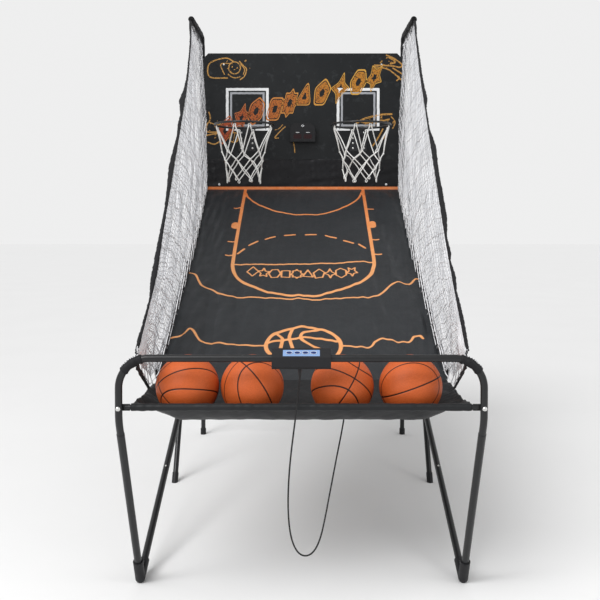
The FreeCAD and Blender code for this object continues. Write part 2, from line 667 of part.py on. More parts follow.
def make_arms():
    split = FOOT + ARM_UP * ARM_SPLIT
    snap = FOOT + ARM_UP * SNAP_AT
    snap_hole = rod(snap, snap + ARM_TOP * 30, SNAP_R + RUNNING)
    lower = pipe(FOOT + ARM_UP * 22, split, FRAME_R).cut(snap_hole)
    export_pair("arm_lower", lower)

    tongue_start = STUD - ARM_UP * 46
    upper = pipe(split, tongue_start, FRAME_R)
    insert = pipe(split - ARM_UP * ARM_OVERLAP, split + ARM_UP * 4, SWAGE_R)
    upper = upper.fuse(insert).cut(snap_hole)
    bearing = rod(PIVOT - V(FRAME_R - 0.4, 0, 0), PIVOT + V(FRAME_R - 0.4, 0, 0), 7)
    upper = upper.fuse(bearing)
    half_x, half_w = 2.5, FRAME_R
    plate = [STUD - ARM_UP * 62 - ARM_TOP * (half_w - 2), STUD + ARM_UP * 14 - ARM_TOP * half_w,
             STUD + ARM_UP * 14 + ARM_TOP * half_w, STUD - ARM_UP * 62 + ARM_TOP * (half_w - 2)]
    tongue = Part.Face(Part.makePolygon(plate + plate[:1])).extrude(V(2 * half_x, 0, 0))
    tongue.translate(V(-half_x, 0, 0))
    upper = upper.fuse(tongue)
    slot_r = PIVOT_R + 0.3
    slot = [STUD - ARM_UP * slot_r, STUD + ARM_UP * slot_r,
            STUD + ARM_UP * (slot_r + 1.5) + ARM_TOP * 20, STUD - ARM_UP * (slot_r + 1.5) + ARM_TOP * 20]
    mouth = Part.Face(Part.makePolygon(slot + slot[:1])).extrude(V(40, 0, 0))
    mouth.translate(V(-20, 0, 0))
    upper = upper.cut(mouth).cut(rod(STUD - V(20, 0, 0), STUD + V(20, 0, 0), slot_r))
    bore = PIVOT_R + RUNNING
    upper = upper.cut(rod(PIVOT - V(20, 0, 0), PIVOT + V(20, 0, 0), bore))
    export_pair("arm_upper", upper.removeSplitter())

    button = rod(snap + ARM_TOP * 5, snap + ARM_TOP * (FRAME_R + 2.6), SNAP_R)
    button = button.fuse(rod(snap + ARM_TOP * 4, snap + ARM_TOP * 5.5, SNAP_R + 1.3)).removeSplitter()
    edge = [e for e in button.Edges if abs((e.CenterOfMass - snap).dot(ARM_TOP) - FRAME_R - 2.6) < 0.01]
    export_pair("snap_button", button.makeFillet(1.5, edge))


def make_tray():
    end = ARM_X - HOOP_R - 4
    tube = pipe(V(-end, TRAY_Y, TRAY_Z), V(end, TRAY_Y, TRAY_Z), TRAY_R)
    back = BAR_Y + HOOP_R
    tab = block(end - 14, ARM_X + 9, back, back + 4, TRAY_Z - 9, TRAY_Z + 9)
    hole = rod(V(ARM_X, BAR_Y - 30, TRAY_Z), V(ARM_X, BAR_Y + 30, TRAY_Z), BOLT_R)
    tab = tab.cut(hole)
    tube = tube.fuse(both(tab)).removeSplitter()
    export("tray_tube", tube)

    seat = V(ARM_X, BAR_Y - HOOP_R, TRAY_Z)
    bolts = both(dome_bolt(seat, V(0, 1, 0), BOLT_R, 30, 6.5, 4))
    nut = V(ARM_X, back + 4, TRAY_Z)
    bolts += both(ring(nut, nut + V(0, 5, 0), 6, BOLT_R))
    for x in (-66, 66):
        bolts.append(dome_bolt(V(x, BAR_Y + 16, BOX_BOTTOM), V(0, 0, 1), 1.5, 34, 2.6, 1.2))
    export("front_bolts", bolts)


def face_point(x, up=0.0, out=0.0):
    """A point on the control box's sloping face."""
    return V(x, 0, 0) + FACE_MIDDLE + FACE_UP * up + FACE_OUT * out


def face_oval(x, half, bottom, top):
    """An oval prism standing on the control box's sloping face."""
    ellipse = Part.Ellipse(V(0, 0, 0), half[0], half[1])
    prism = Part.Face(Part.Wire([ellipse.toShape()])).extrude(V(0, 0, top - bottom))
    place = face_point(x, 0, bottom)
    matrix = FreeCAD.Matrix(1, 0, 0, place.x,
                            0, FACE_UP.y, FACE_OUT.y, place.y,
                            0, FACE_UP.z, FACE_OUT.z, place.z,
                            0, 0, 0, 1)
    return prism.transformGeometry(matrix)


def face_slab(half_x, half_up, bottom, top):
    """A flat slab lying on the control box's sloping face."""
    corners = [face_point(-half_x, -half_up, bottom), face_point(half_x, -half_up, bottom),
               face_point(half_x, half_up, bottom), face_point(-half_x, half_up, bottom)]
    return Part.Face(Part.makePolygon(corners + corners[:1])).extrude(FACE_OUT * (top - bottom))


def make_control_box():
    outline = [(BOX_FRONT, BOX_BOTTOM + 6), (BOX_FRONT, BOX_FACE_LOW), (BOX_FACE_BACK, BOX_TOP),
               (BOX_BACK, BOX_TOP), (BOX_BACK, BOX_BOTTOM), (BOX_FRONT + 6, BOX_BOTTOM)]
    whole = side_plate(outline, -BOX_HALF, BOX_HALF)
    whole = whole.cut(rod(V(-100, BAR_Y, BAR_Z), V(100, BAR_Y, BAR_Z), HOOP_R))
    button_x = [(k - 1.5) * BUTTON_PITCH for k in range(4)]

    upper = whole.common(block(-100, 100, BOX_FRONT - 5, BOX_BACK + 5, BAR_Z, BOX_TOP + 5))
    upper = upper.cut(face_slab(LABEL_HALF, LABEL_WIDTH / 2, -LABEL_THICK, 5))
    plate = face_slab(LABEL_HALF, LABEL_WIDTH / 2, -LABEL_THICK, 0)
    pocket = LABEL_THICK + 0.5 + BUTTON_TRAVEL + 0.1
    for number, x in enumerate(button_x, 1):
        flange = BUTTON_FLANGE
        upper = upper.cut(face_oval(x, (flange[0] + 0.2, flange[1] + 0.2), -pocket, 0))
        hole = (BUTTON_HALF[0] + RUNNING, BUTTON_HALF[1] + RUNNING)
        plate = plate.cut(face_oval(x, hole, -5, 5))
        button = face_oval(x, BUTTON_HALF, -LABEL_THICK - 0.3, BUTTON_PROUD)
        base = face_oval(x, flange, -LABEL_THICK - 0.5, -LABEL_THICK - RUNNING)
        export("button_%d" % number, button.fuse(base).removeSplitter())
    screws = [rod(V(x, BAR_Y + 16, BOX_BOTTOM - 1), V(x, BAR_Y + 16, BOX_BOTTOM + 34), 1.5) for x in (-66, 66)]
    for screw in screws:
        upper = upper.cut(screw)
    export("control_case_upper", upper)
    export("keypad_plate", plate)

    lower = whole.common(block(-100, 100, BOX_FRONT - 5, BOX_BACK + 5, BOX_BOTTOM - 5, BAR_Z))
    floor = BOX_BOTTOM + SHELL
    cavity = block(-60, 60, BOX_FRONT + SHELL + 4, BOX_BACK - SHELL, floor, floor + 9.5)
    exit_point = V(*CORD_ROUTE[0][:2], 0)
    lower = lower.cut(cavity)
    posts = [rod(V(x, BAR_Y, floor - 0.5), V(x, BAR_Y, floor + 3.2), 2.5) for x in (-40, 40)]
    lower = lower.fuse(posts)
    lower = lower.cut(rod(exit_point + V(0, 0, BOX_BOTTOM - 1), exit_point + V(0, 0, floor + 0.1), 3.2))
    for screw in screws:
        lower = lower.cut(screw)
    export("control_case_lower", lower.removeSplitter())
    board = block(-54, 54, BOX_FRONT + 9, BOX_BACK - 5, floor + 3.2, floor + 4.8)
    export("control_board", board)

    relief = Part.makeCone(CORD_R + 0.5, 4.6, RELIEF_LENGTH, exit_point + V(0, 0, BOX_BOTTOM - RELIEF_LENGTH))
    relief = relief.fuse(rod(exit_point + V(0, 0, BOX_BOTTOM - 0.5), exit_point + V(0, 0, floor + 0.2), 3.2))
    relief = relief.fuse(rod(exit_point + V(0, 0, floor), exit_point + V(0, 0, floor + 1.6), 5))
    export("cord_relief", relief.removeSplitter())


# ---- cords -----------------------------------------------------------------------------------

def make_cords():
    route = [V(*point) for point in CORD_ROUTE]
    radii = even_bends(route)
    cord = swept(route, radii, CORD_R)
    length = path(route, radii).Length
    print("cord length %.0f, radii %s" % (length, " ".join("%.0f" % r for r in radii)))
    print("cord volume over section times length %.4f" % (cord.Volume / (math.pi * CORD_R ** 2 * length)))
    export("control_cord", cord)

    route = [V(*point) for point in LEAD_ROUTE]
    radii = even_bends(route)
    lead = swept(route, radii, CORD_R)
    length = path(route, radii).Length
    print("lead length %.0f" % length)
    print("lead volume over section times length %.4f" % (lead.Volume / (math.pi * CORD_R ** 2 * length)))
    export("score_lead", lead)


def main():
    os.makedirs("parts", exist_ok=True)
    make_posts()
    make_cross_tubes()
    make_stays()
    make_caps()
    make_frame_hardware()
    make_knobs()
    make_board()
    make_rims()
    make_scoreboard()
    make_cloths()
    make_side_nets()
    make_balls()
    make_front_hoop()
    make_feet()
    make_arms()
    make_tray()
    make_control_box()
    make_cords()


main()
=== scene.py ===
import json
import math

import bmesh
import bpy
import numpy as np
from mathutils import Matrix, Vector


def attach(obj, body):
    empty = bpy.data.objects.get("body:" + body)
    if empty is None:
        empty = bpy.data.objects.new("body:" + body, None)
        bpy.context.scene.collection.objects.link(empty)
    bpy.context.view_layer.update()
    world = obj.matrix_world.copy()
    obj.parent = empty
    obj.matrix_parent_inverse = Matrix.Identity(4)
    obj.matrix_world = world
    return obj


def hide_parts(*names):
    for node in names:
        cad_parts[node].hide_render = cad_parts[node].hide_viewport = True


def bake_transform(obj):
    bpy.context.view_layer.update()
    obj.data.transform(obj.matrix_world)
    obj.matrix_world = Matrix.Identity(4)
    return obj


# A fold-up, two-hoop basketball machine. Lengths are in millimetres here and become metres when a
# piece is made. X is to the player's right, Y is away from the player and Z is up.

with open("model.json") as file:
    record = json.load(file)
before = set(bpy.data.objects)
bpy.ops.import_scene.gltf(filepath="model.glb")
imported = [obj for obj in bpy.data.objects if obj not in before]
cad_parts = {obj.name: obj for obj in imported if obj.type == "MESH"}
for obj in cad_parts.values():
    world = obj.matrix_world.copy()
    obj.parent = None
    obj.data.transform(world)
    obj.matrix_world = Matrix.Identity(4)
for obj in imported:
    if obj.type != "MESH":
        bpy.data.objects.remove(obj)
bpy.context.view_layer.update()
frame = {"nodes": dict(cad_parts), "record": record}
scene = bpy.context.scene
nodes = frame["nodes"]
MM = 0.001


def add_object(name, data, place=(0, 0, 0), turn=(0, 0, 0)):
    """A new object in the scene."""
    obj = bpy.data.objects.new(name, data)
    obj.location = place
    obj.rotation_euler = turn
    scene.collection.objects.link(obj)
    return obj


# ---- camera ----------------------------------------------------------------------------------

IMAGE, FOCAL, SENSOR = 600, 825, 36
CAMERA_PLACE, CAMERA_TILT, CAMERA_SHIFT = (0.0075, -3.203, 1.084), 1.5, (-4.2, -54.8)
camera_data = bpy.data.cameras.new("camera")
camera_data.sensor_width = SENSOR
camera_data.lens = FOCAL / IMAGE * SENSOR
camera_data.shift_x, camera_data.shift_y = [shift / IMAGE for shift in CAMERA_SHIFT]
scene.camera = add_object("camera", camera_data, CAMERA_PLACE, (math.radians(90 - CAMERA_TILT), 0, 0))


# ---- mesh helpers ----------------------------------------------------------------------------

def unit(vectors):
    """The same vectors with a length of one."""
    vectors = np.asarray(vectors, float)
    return vectors / np.maximum(np.linalg.norm(vectors, axis=-1, keepdims=True), 1e-9)


def ripple(x, y, scale, seed, waves=7):
    """Smooth random heights of about -1 to 1, from a few crossing waves."""
    draw = np.random.default_rng(seed)
    total = 0
    for _ in range(waves):
        angle, phase = draw.uniform(0, 2 * math.pi, 2)
        rate = 2 * math.pi / scale * draw.uniform(0.6, 1.6)
        total = total + np.sin(rate * (x * math.cos(angle) + y * math.sin(angle)) + phase)
    return total / math.sqrt(waves) / 1.1


def lumpy(travel, sides, amount, twist, scale, seed):
    """Factors of about one for the thickness of a tube, along it and round it."""
    turns = np.arange(sides) * 2 * math.pi / sides
    return 1 + amount * ripple(travel[:, None], twist * turns[None, :], scale, seed)


def between(start, end, shares):
    """Points at shares of the way from one place to another."""
    shares = np.asarray(shares, float)[:, None]
    return np.asarray(start, float) * (1 - shares) + np.asarray(end, float) * shares


def smooth_step(low, high, value):
    """0 below low, 1 above high and a smooth rise between."""
    share = np.clip((np.asarray(value, float) - low) / (high - low), 0, 1)
    return share * share * (3 - 2 * share)


def curve_through(points, steps=8, closed=False):
    """A smooth line through points."""
    points = [np.asarray(p, float) for p in points]
    if closed:
        padded = [points[-1]] + points + points[:2]
    else:
        padded = [2 * points[0] - points[1]] + points + [2 * points[-1] - points[-2]]
    out = []
    for a, b, c, d in zip(padded, padded[1:], padded[2:], padded[3:]):
        for t in np.arange(steps) / steps:
            out.append(0.5 * (2 * b + (c - a) * t + (2 * a - 5 * b + 4 * c - d) * t ** 2
                              + (3 * b - a - 3 * c + d) * t ** 3))
    if not closed:
        out.append(points[-1])
    return np.array(out)


def line_frames(points, closed, first):
    """Directions along a line, and two across it that twist as little as they can."""
    if closed:
        tangent = unit(np.roll(points, -1, axis=0) - np.roll(points, 1, axis=0))
    else:
        tangent = unit(np.gradient(points, axis=0))
    if first is None:
        first = (0, 0, 1) if abs(tangent[0][2]) < 0.9 else (1, 0, 0)
    side, sides = np.asarray(first, float), []
    for direction in tangent:
        side = unit(side - direction * side.dot(direction))
        sides.append(side)
    sides = np.array(sides)
    return tangent, sides, np.cross(tangent, sides)


class Shape:
    """Points and faces gathered for one piece."""

    def __init__(self):
        self.points, self.faces, self.slots, self.count = [], [], [], 0

    def add(self, points, faces, slot=0):
        points = np.asarray(points, float).reshape(-1, 3)
        self.points.append(points)
        self.faces += [tuple(int(i) + self.count for i in face) for face in faces]
        self.slots += [slot] * len(faces)
        self.count += len(points)
        return self

    def tube(self, points, radius, sides=8, closed=False, first=None, flat=1.0, slot=0, lumps=None):
        """A round bar along points. Its second half-width is flat times its first."""
        points = np.asarray(points, float)
        count = len(points)
        radii = np.broadcast_to(np.asarray(radius, float), (count,))
        _, side, up = line_frames(points, closed, first)
        angles = np.arange(sides) * 2 * math.pi / sides
        reach = radii[:, None] * (np.ones((count, sides)) if lumps is None else lumps)
        ring = points[:, None] + reach[..., None] * (np.cos(angles)[None, :, None] * side[:, None]
                                                     + flat * np.sin(angles)[None, :, None] * up[:, None])
        faces = []
        for i in range(count if closed else count - 1):
            a, b = i * sides, (i + 1) % count * sides
            for k in range(sides):
                n = (k + 1) % sides
                faces.append((a + k, a + n, b + n, b + k))
        if not closed:
            faces.append(tuple(range(sides))[::-1])
            faces.append(tuple(range((count - 1) * sides, count * sides)))
        return self.add(ring, faces, slot)

    def sheet(self, grid, thick, slot=0):
        """A closed sheet whose upper face is a grid of points."""
        grid = np.asarray(grid, float)
        n, m = grid.shape[:2]
        normal = unit(np.cross(np.gradient(grid, axis=0), np.gradient(grid, axis=1)))
        under = grid - normal * thick
        top = lambda i, j: i * m + j
        low = lambda i, j: n * m + i * m + j
        faces = []
        for i in range(n - 1):
            for j in range(m - 1):
                faces.append((top(i, j), top(i + 1, j), top(i + 1, j + 1), top(i, j + 1)))
                faces.append((low(i, j), low(i, j + 1), low(i + 1, j + 1), low(i + 1, j)))
        rim = [(i, 0) for i in range(n)] + [(n - 1, j) for j in range(1, m)]
        rim += [(i, m - 1) for i in range(n - 2, -1, -1)] + [(0, j) for j in range(m - 2, 0, -1)]
        for (i, j), (k, l) in zip(rim, rim[1:] + rim[:1]):
            faces.append((top(i, j), low(i, j), low(k, l), top(k, l)))
        return self.add(np.concatenate([grid.reshape(-1, 3), under.reshape(-1, 3)]), faces, slot)

    def plate(self, outer, inner, low, high, slot=0):
        """A flat ring, or a full plate where inner is one point, given as (X, Z), from one Y to another."""
        outer = np.asarray(outer, float)
        inner = np.broadcast_to(np.asarray(inner, float), outer.shape)
        count = len(outer)
        layers = [np.insert(line, 1, y, axis=1) for y, line in
                  ((low, outer), (high, outer), (high, inner), (low, inner))]
        faces = []
        for layer in range(4):
            a, b = layer * count, (layer + 1) % 4 * count
            for k in range(count):
                n = (k + 1) % count
                faces.append((a + k, a + n, b + n, b + k))
        return self.add(np.concatenate(layers), faces, slot)

    def lathe(self, profile, centre, axis, turns=32, slot=0):
        """A turned shape. The profile is (radius, distance along the axis) and ends on the axis."""
        axis = unit(axis)
        side = unit(np.cross(axis, (0, 0, 1) if abs(axis[2]) < 0.9 else (1, 0, 0)))
        up = np.cross(axis, side)
        points, faces = [], []
        for radius, along in profile:
            for k in range(turns):
                angle = 2 * math.pi * k / turns
                out = side * math.cos(angle) + up * math.sin(angle)
                points.append(np.asarray(centre, float) + axis * along + out * max(radius, 0.01))
        for i in range(len(profile) - 1):
            for k in range(turns):
                n = (k + 1) % turns
                faces.append((i * turns + k, i * turns + n, (i + 1) * turns + n, (i + 1) * turns + k))
        faces.append(tuple(range(turns))[::-1])
        faces.append(tuple(range((len(profile) - 1) * turns, len(profile) * turns)))
        return self.add(points, faces, slot)

    def piece(self, name, *materials, smooth=True, slot=None):
        """The mesh object, in metres."""
        mesh = bpy.data.meshes.new(name)
        mesh.from_pydata((np.concatenate(self.points) * MM).tolist(), [], self.faces)
        for material in materials:
            mesh.materials.append(material)
        mesh.polygons.foreach_set("use_smooth", [smooth] * len(mesh.polygons))
        mesh.polygons.foreach_set("material_index", self.slots)
        mesh.update()
        obj = add_object(name, mesh)
        return obj


def outward(obj):
    """Turns every closed shell of a piece so that its faces look outward."""
    work = bmesh.new()
    work.from_mesh(obj.data)
    bmesh.ops.remove_doubles(work, verts=work.verts, dist=1e-6)
    bmesh.ops.recalc_face_normals(work, faces=work.faces)
    work.to_mesh(obj.data)
    work.free()
    return obj


# ---- materials -------------------------------------------------------------------------------

class Paint:
    """A node material built up from object-space noise."""

    def __init__(self, name, rough=0.5, metallic=0.0, **inputs):
        self.material = bpy.data.materials.new(name)
        self.material.use_nodes = True
        self.tree = self.material.node_tree
        self.shader = self.tree.nodes["Principled BSDF"]
        self.shader.inputs["Roughness"].default_value = rough
        self.shader.inputs["Metallic"].default_value = metallic
        for key, value in inputs.items():
            self.shader.inputs[key.replace("_", " ")].default_value = value
        self.place = self.node("ShaderNodeTexCoord").outputs["Object"]

    def node(self, kind, settings=None, **inputs):
        made = self.tree.nodes.new(kind)
        for key, value in (settings or {}).items():
            setattr(made, key, value)
        for key, value in inputs.items():
            self.link(value, made.inputs[int(key[1:]) if key[1:].isdigit() else key.replace("_", " ")])
        return made

    def link(self, value, target):
        if isinstance(value, bpy.types.NodeSocket):
            self.tree.links.new(value, target)
        else:
            target.default_value = value

    def stretched(self, x, y, z):
        """Object coordinates scaled by three factors."""
        node = self.node("ShaderNodeMapping", Vector=self.place)
        node.inputs["Scale"].default_value = (x, y, z)
        return node.outputs[0]

    def noise(self, scale, detail=3.0, vector=None, rough=0.5):
        vector = self.place if vector is None else vector
        return self.node("ShaderNodeTexNoise", Vector=vector, Scale=scale, Detail=detail,
                         Roughness=rough).outputs[0]

    def cells(self, scale, vector=None):
        vector = self.place if vector is None else vector
        return self.node("ShaderNodeTexVoronoi", Vector=vector, Scale=scale).outputs["Distance"]

    def ramp(self, value, low, high, out_low=0.0, out_high=1.0):
        node = self.node("ShaderNodeMapRange", {"clamp": True}, Value=value)
        for key, number in zip(("From Min", "From Max", "To Min", "To Max"), (low, high, out_low, out_high)):
            node.inputs[key].default_value = number
        return node.outputs[0]

    def math(self, operation, a, b=0.0):
        return self.node("ShaderNodeMath", {"operation": operation}, _0=a, _1=b).outputs[0]

    def mix(self, factor, a, b, blend="MIX"):
        node = self.node("ShaderNodeMix", {"data_type": "RGBA", "blend_type": blend})
        a, b = [c if isinstance(c, bpy.types.NodeSocket) else (*c, 1.0) for c in (a, b)]
        self.link(factor, node.inputs[0])
        self.link(a, node.inputs[6])
        self.link(b, node.inputs[7])
        return node.outputs[2]

    def attribute(self, name):
        return self.node("ShaderNodeAttribute", {"attribute_name": name}).outputs["Fac"]

    def along(self, axis):
        return self.node("ShaderNodeSeparateXYZ", Vector=self.place).outputs[axis]

    def colour(self, value):
        self.link(value if isinstance(value, bpy.types.NodeSocket) else (*value, 1.0),
                  self.shader.inputs["Base Color"])
        return self

    def rough(self, value):
        self.link(value, self.shader.inputs["Roughness"])
        return self

    def uneven(self, scale, low, high, detail=3.0, vector=None):
        """Roughness that wanders between two values."""
        return self.rough(self.ramp(self.noise(scale, detail, vector), 0.3, 0.7, low, high))

    def bump(self, *layers):
        """Bump from (height, strength, distance in metres), one over another."""
        normal = None
        for height, strength, distance in layers:
            node = self.node("ShaderNodeBump", Height=height, Strength=strength, Distance=distance)
            if normal is not None:
                self.link(normal, node.inputs["Normal"])
            normal = node.outputs[0]
        self.link(normal, self.shader.inputs["Normal"])
        return self


def coated_metal(name, dark, light, rough, coat=0.25):
    """Powder coat or paint: fine orange peel, faint patches and small scuffs."""
    paint = Paint(name, Coat_Weight=coat, Coat_Roughness=0.25, Specular_IOR_Level=0.3)
    patches = paint.noise(6, 4)
    scuffs = paint.ramp(paint.noise(90, 6, paint.stretched(1, 1, 0.3)), 0.66, 0.74)
    paint.colour(paint.mix(scuffs, paint.mix(patches, dark, light), [c * 1.5 + 0.01 for c in light]))
    paint.uneven(40, rough - 0.05, rough + 0.08)
    paint.bump((paint.noise(700, 2), 0.25, 0.0002), (paint.noise(120, 2), 0.1, 0.0004))
    return paint.material


def moulded(name, dark, light, rough, grain=1500, coat=0.0):
    """Moulded plastic or rubber with a spark-eroded grain."""
    paint = Paint(name, Coat_Weight=coat, Specular_IOR_Level=0.25)
    paint.colour(paint.mix(paint.noise(14, 4), dark, light))
    paint.uneven(60, rough - 0.06, rough + 0.08)
    paint.bump((paint.noise(grain, 2), 0.35, 0.00015), (paint.noise(35, 2), 0.06, 0.0006))
    return paint.material


def bare_metal(name, dark, light, rough):
    """Zinc plate with fine brushing."""
    paint = Paint(name, metallic=1.0)
    paint.colour(paint.mix(paint.noise(120, 4), dark, light))
    paint.uneven(500, rough - 0.08, rough + 0.1, 2, paint.stretched(1, 6, 1))
    paint.bump((paint.noise(900, 2, paint.stretched(1, 8, 1)), 0.12, 0.0001))
    return paint.material


def woven(name, dark, light, rough, sheen=0.03, thread=0.0007, crease=0.5):
    """Coated cloth: a plain weave with soft creases."""
    paint = Paint(name, Sheen_Weight=sheen, Sheen_Roughness=0.4, Specular_IOR_Level=0.22)
    patches = paint.noise(5, 5, rough=0.6)
    paint.colour(paint.mix(patches, dark, light))
    paint.uneven(18, rough - 0.07, rough + 0.08)
    creases = paint.noise(30, 6, paint.stretched(1.0, 0.4, 1.0), 0.55)
    paint.bump((paint.cells(1 / thread), 0.3, 0.0003), (creases, crease, 0.003))
    return paint


def corded(name, dark, light, rate):
    """White textile cord: a twisted strand with a slight soiling."""
    paint = Paint(name, rough=0.75, Sheen_Weight=0.3)
    soil = paint.ramp(paint.noise(9, 5), 0.35, 0.75)
    paint.colour(paint.mix(soil, light, dark))
    paint.bump((paint.cells(rate), 0.7, 0.0006), (paint.noise(rate * 3, 2), 0.3, 0.0003))
    return paint.material


TUBE = coated_metal("tube_coat", (0.008, 0.008, 0.009), (0.016, 0.017, 0.018), 0.34, 0.15)
RIM_COAT = coated_metal("rim_coat", (0.012, 0.013, 0.014), (0.026, 0.027, 0.029), 0.3, 0.3)
CAP = moulded("cap_plastic", (0.009, 0.009, 0.01), (0.018, 0.018, 0.02), 0.48)
CASE = moulded("case_plastic", (0.008, 0.008, 0.009), (0.016, 0.016, 0.018), 0.4, 1100)
JACKET = moulded("cord_jacket", (0.008, 0.008, 0.008), (0.018, 0.018, 0.019), 0.5, 2500)
ZINC = bare_metal("zinc", (0.55, 0.55, 0.54), (0.82, 0.82, 0.8), 0.28)
EDGING = woven("edging_cloth", (0.006, 0.006, 0.007), (0.014, 0.014, 0.016), 0.62, 0.04).material
TRAY_CLOTH = woven("tray_cloth", (0.008, 0.0085, 0.009), (0.018, 0.019, 0.021), 0.5, 0.03).material
SKIRT_VINYL = woven("skirt_vinyl", (0.007, 0.007, 0.008), (0.014, 0.014, 0.016), 0.32, 0.0,
                    crease=0.35).material
HOOP_CORD = corded("hoop_cord", (0.6, 0.59, 0.56), (0.86, 0.86, 0.84), 700)
MESH_CORD = corded("mesh_cord", (0.6, 0.6, 0.62), (0.88, 0.88, 0.9), 1100)
# The fine layer is coloured grey, darker than the white net, as painted shade seen between the strands.
SHADED_FINE_CORD = corded("fine_cord_painted_shade", (0.41, 0.42, 0.44), (0.60, 0.61, 0.64), 1300)
WHITE_INK = moulded("white_ink", (0.62, 0.63, 0.64), (0.86, 0.87, 0.88), 0.4, 600)
GREY_INK = moulded("grey_ink", (0.26, 0.27, 0.29), (0.42, 0.43, 0.46), 0.42, 600)
LABEL = moulded("label_film", (0.16, 0.27, 0.50), (0.24, 0.37, 0.62), 0.3, 900, 0.4)
KEY = moulded("key_rubber", (0.008, 0.02, 0.10), (0.016, 0.035, 0.16), 0.42, 1800)


def board_material():
    """The printed board: glossy black sheet with faint dark printing, dust and rubs."""
    paint = Paint("board_print", Coat_Weight=0.05, Coat_Roughness=0.3, Specular_IOR_Level=0.2)
    ghost = paint.ramp(paint.noise(22, 8, rough=0.7), 0.56, 0.62)
    base = paint.mix(paint.noise(3, 4), (0.0085, 0.0095, 0.0105), (0.015, 0.0165, 0.018))
    paint.colour(paint.mix(ghost, base, (0.022, 0.024, 0.026)))
    paint.uneven(12, 0.3, 0.46, 6)
    paint.bump((paint.noise(420, 3), 0.12, 0.0002), (paint.noise(7, 2), 0.12, 0.004))
    return paint.material


def weathered_ink(name, left, right, wear):
    """Printed ink that runs from one colour to another across the board, worn through in specks."""
    paint = Paint(name, rough=0.42, Specular_IOR_Level=0.3)
    across = paint.ramp(paint.along(0), -0.40, 0.22)
    tone = paint.mix(paint.noise(45, 5), (0.75, 0.72, 0.7), (1.0, 1.0, 1.0))
    print_colour = paint.mix(1.0, paint.mix(across, left, right), tone, "MULTIPLY")
    worn = paint.ramp(paint.noise(150, 8, rough=0.7), wear, wear + 0.05)
    paint.colour(paint.mix(worn, print_colour, (0.02, 0.016, 0.012)))
    paint.bump((paint.noise(300, 3), 0.2, 0.0002))
    return paint.material


BOARD = board_material()
INK_RIM = weathered_ink("ink_rim", (0.52, 0.13, 0.04), (0.66, 0.36, 0.06), 0.60)
INK_FILL = weathered_ink("ink_fill", (0.40, 0.07, 0.02), (0.50, 0.21, 0.022), 0.53)
INK_LINE = weathered_ink("ink_line", (0.56, 0.30, 0.075), (0.50, 0.26, 0.06), 0.54)


def court_material():
    """Charcoal coated cloth with lines printed in orange ink, which is painted lighter toward the front as a
    painted sheen. The ink's edge is where print_mm is zero.
    """
    paint = woven("court_cloth", (0.019, 0.0215, 0.024), (0.031, 0.034, 0.038), 0.42, 0.05, 0.0008, 0.55)
    cloth = paint.shader.inputs["Base Color"].links[0].from_socket
    # Painted sheen: the ink runs from deep orange at the rear to a lighter peach toward the front.
    down = paint.ramp(paint.along(1), 0.95, 0.25)
    ink = paint.mix(down, (0.66, 0.17, 0.035), (0.78, 0.33, 0.115))
    ink = paint.mix(paint.ramp(paint.noise(60, 5), 0.3, 0.7), ink, paint.mix(0.12, ink, (1.0, 0.75, 0.5)))
    covered = paint.ramp(paint.attribute("print_mm"), 0.9, -0.9)
    speck = paint.ramp(paint.noise(500, 4), 0.7, 0.76)
    covered = paint.math("MULTIPLY", covered, paint.math("SUBTRACT", 1.0, speck))
    paint.colour(paint.mix(covered, cloth, ink))
    return paint.material


def ball_material():
    """Pebbled rubber in orange with painted shade in the valleys between pebbles, and dark seams where
    seam_mm is below zero.
    """
    paint = Paint("ball_rubber", rough=0.5, Specular_IOR_Level=0.3)
    skin = paint.mix(paint.noise(18, 5), (0.60, 0.105, 0.02), (0.70, 0.15, 0.035))
    pebble = paint.cells(520)
    # Painted shade: the skin is darker toward the cell edges, in the valleys between the pebbles.
    skin = paint.mix(paint.ramp(pebble, 0.15, 0.6), skin, (0.50, 0.095, 0.02))
    seam = paint.ramp(paint.attribute("seam_mm"), 0.35, -0.35)
    paint.colour(paint.mix(seam, skin, (0.028, 0.008, 0.005)))
    paint.uneven(30, 0.42, 0.56)
    height = paint.math("MULTIPLY", paint.ramp(pebble, 0.0, 0.7, 1.0, 0.0), paint.math("SUBTRACT", 1.0, seam))
    paint.bump((height, 0.6, 0.0006))
    return paint.material


def window_material():
    """Dark red tinted window."""
    paint = Paint("window_tint", rough=0.12, Coat_Weight=0.1, Specular_IOR_Level=0.3)
    paint.colour(paint.mix(paint.noise(30, 3), (0.014, 0.003, 0.004), (0.024, 0.004, 0.005)))
    paint.uneven(200, 0.08, 0.2)
    paint.bump((paint.noise(60, 2), 0.05, 0.0005))
    return paint.material


def circuit_material():
    """Circuit board: green lacquer over copper tracks."""
    paint = Paint("circuit", rough=0.35)
    tracks = paint.ramp(paint.cells(260, vector=paint.stretched(1, 1, 3)), 0.30, 0.34)
    paint.colour(paint.mix(tracks, (0.02, 0.13, 0.05), (0.045, 0.22, 0.09)))
    paint.uneven(300, 0.25, 0.45, 2)
    paint.bump((tracks, 0.3, 0.0001))
    return paint.material


def cell_material():
    """Printed sleeve of a dry cell with a bright end."""
    paint = Paint("cell_sleeve", rough=0.3, metallic=0.4)
    end = paint.ramp(paint.along(0), 0.012, 0.0125)
    paint.colour(paint.mix(end, paint.mix(paint.noise(90, 3), (0.02, 0.02, 0.025), (0.04, 0.04, 0.05)),
                           (0.55, 0.36, 0.12)))
    paint.bump((paint.noise(700, 2), 0.15, 0.0001))
    return paint.material


COURT = court_material()
BALL = ball_material()
WINDOW = window_material()
CIRCUIT = circuit_material()
CELL = cell_material()

